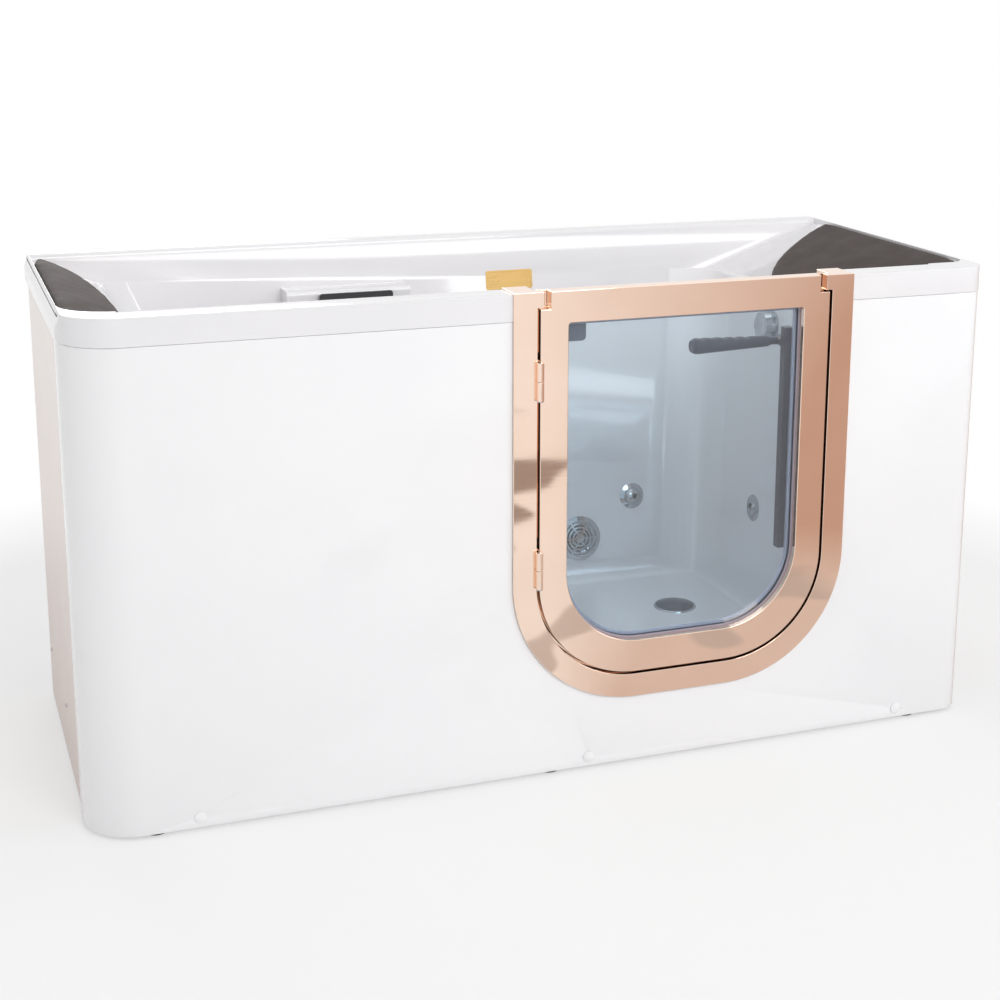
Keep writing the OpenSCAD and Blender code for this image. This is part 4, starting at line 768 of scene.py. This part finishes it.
# Studio: pale floor, soft lamps, white surroundings that metal and glass see as well
studio = {"floorSize": 40.0, "floorColours": (0.86, 0.85), "floorRough": 0.9,
          "floorDrift": 0.7, "floorLift": 0.5, "surround": 0.46, "seen": 1.0,
          "fade": (1.0, 1.9), "dark": (0.20, 0.12, 0.09), "beige": (0.60, 0.43, 0.36),
          "slant": (0.34, 0.74), "frontLine": -0.35, "leastAhead": 0.3, "patch": 2.3,
          "patchEdge": (0.55, 0.57), "patchShare": 0.75, "patchEnds": ((0.9, 1.0), (0.1, 0.0)),
          "aim": (0, 0, 0.45), "lamps": {
              "key": ((0.6, -4.4, 3.2), (2.6, 2.0), 96.0),
              "fill": ((3.6, -2.6, 2.2), (2.2, 1.8), 34.0),
              "top": ((0.1, 0.2, 3.6), (3.2, 2.0), 17.0),
              "side": ((-4.4, -0.4, 1.5), (2.4, 1.8), 24.0),
              "back": ((-0.6, 3.8, 2.4), (2.6, 1.6), 36.0)}}


# Rays by which the eye meets a surface: straight, or by way of metal and glass
def eyeRays(tree):
    ray = tree.nodes.new("ShaderNodeLightPath")
    indirect = addMath(tree, "MAXIMUM", ray.outputs["Is Glossy Ray"],
                       ray.outputs["Is Transmission Ray"])
    return ray, addMath(tree, "MAXIMUM", ray.outputs["Is Camera Ray"], indirect)


def makeFloor():
    bm = bmesh.new()
    bmesh.ops.create_grid(bm, x_segments=1, y_segments=1, size=studio["floorSize"] / 2)
    mesh = bpy.data.meshes.new("studioFloor")
    bm.to_mesh(mesh)
    bm.free()
    floor = bpy.data.objects.new("studioFloor", mesh)
    bpy.context.scene.collection.objects.link(floor)
    material, tree, shader, place = startMaterial("floorPaint")
    first, second = ((level,) * 3 for level in studio["floorColours"])
    colourFrom(tree, shader, place, first, second, studio["floorDrift"])
    shader.inputs["Roughness"].default_value = studio["floorRough"]
    glow = tree.nodes.new("ShaderNodeEmission")
    glow.inputs["Strength"].default_value = studio["seen"]
    ray, seenBy = eyeRays(tree)
    # Polished metal sees a floor that turns beige to the right, with a few warm dark patches
    # where the frame stands; the camera sees none of it
    split = tree.nodes.new("ShaderNodeSeparateXYZ")
    tree.links.new(place, split.inputs[0])
    across = split.outputs["X"]
    ahead = addMath(tree, "MAXIMUM", studio["leastAhead"],
                    addMath(tree, "SUBTRACT", studio["frontLine"], split.outputs["Y"]))
    slant = addRange(tree, addMath(tree, "DIVIDE", across, ahead), *studio["slant"])
    glossy = ray.outputs["Is Glossy Ray"]
    spots = addRange(tree, addNoise(tree, place, studio["patch"], 1.0), *studio["patchEdge"],
                     0.0, studio["patchShare"])
    for start, end in studio["patchEnds"]:
        spots = addMath(tree, "MULTIPLY", spots, addRange(tree, across, start, end, 1.0, 0.0))
    tint = None
    for share, colour in ((slant, studio["beige"]), (spots, studio["dark"])):
        before, tint = tint, tree.nodes.new("ShaderNodeMix")
        tint.data_type = "RGBA"
        if before:
            tree.links.new(before.outputs["Result"], tint.inputs["A"])
        else:
            tint.inputs["A"].default_value = (1, 1, 1, 1)
        tint.inputs["B"].default_value = (*colour, 1)
        tree.links.new(addMath(tree, "MULTIPLY", share, glossy), tint.inputs["Factor"])
    tree.links.new(tint.outputs["Result"], glow.inputs["Color"])
    away = tree.nodes.new("ShaderNodeVectorMath")
    away.operation = "LENGTH"
    tree.links.new(place, away.inputs[0])
    lift = addMath(tree, "MAXIMUM", studio["floorLift"],
                   addRange(tree, away.outputs["Value"], *studio["fade"]))
    mix = tree.nodes.new("ShaderNodeMixShader")
    tree.links.new(addMath(tree, "MULTIPLY", seenBy, lift), mix.inputs[0])
    tree.links.new(shader.outputs[0], mix.inputs[1])
    tree.links.new(glow.outputs[0], mix.inputs[2])
    tree.links.new(mix.outputs[0], tree.nodes["Material Output"].inputs["Surface"])
    mesh.materials.append(material)


def makeWorld():
    world = bpy.data.worlds.new("studioWorld")
    bpy.context.scene.world = world
    world.use_nodes = True
    tree = world.node_tree
    tree.nodes.clear()
    _, seenBy = eyeRays(tree)
    lit, seen = (tree.nodes.new("ShaderNodeBackground") for _ in range(2))
    lit.inputs["Strength"].default_value = studio["surround"]
    seen.inputs["Strength"].default_value = studio["seen"]
    for node in (lit, seen):
        node.inputs["Color"].default_value = (1, 1, 1, 1)
    mix = tree.nodes.new("ShaderNodeMixShader")
    tree.links.new(seenBy, mix.inputs[0])
    tree.links.new(lit.outputs[0], mix.inputs[1])
    tree.links.new(seen.outputs[0], mix.inputs[2])
    tree.links.new(mix.outputs[0], tree.nodes.new("ShaderNodeOutputWorld").inputs["Surface"])


def makeLamp(name, place, size, power):
    lamp = bpy.data.lights.new(name, "AREA")
    lamp.shape = "RECTANGLE"
    lamp.size, lamp.size_y = size
    lamp.energy = power
    holder = bpy.data.objects.new(name, lamp)
    bpy.context.scene.collection.objects.link(holder)
    holder.location = place
    aim = Vector(studio["aim"]) - Vector(place)
    holder.rotation_euler = aim.to_track_quat("-Z", "Y").to_euler()
    holder.visible_glossy = name != "side"   # no hard highlight down the rounded corner


makeFloor()
makeWorld()
for name, (place, size, power) in studio["lamps"].items():
    makeLamp(name, place, size, power)
print("studio made")

# Camera fitted to the photo: place in metres, angles in degrees
shot = {"place": (-1.083, -3.17925, 1.461), "yaw": 20.98, "pitch": 13.30, "roll": 0.54,
        "lens": 64.44, "sensor": 36.0, "shiftX": -0.07, "shiftY": -0.12}
camera = bpy.data.objects.new("camera", bpy.data.cameras.new("camera"))
bpy.context.scene.collection.objects.link(camera)
camera.data.lens = shot["lens"]
camera.data.sensor_width = shot["sensor"]
camera.data.shift_x, camera.data.shift_y = shot["shiftX"], shot["shiftY"]
camera.matrix_world = (Matrix.Translation(shot["place"])
                       @ Matrix.Rotation(math.radians(-shot["yaw"]), 4, "Z")
                       @ Matrix.Rotation(math.radians(90 - shot["pitch"]), 4, "X")
                       @ Matrix.Rotation(math.radians(shot["roll"]), 4, "Z"))
bpy.context.scene.camera = camera
bpy.context.scene.view_settings.view_transform = "Standard"
print("camera set")
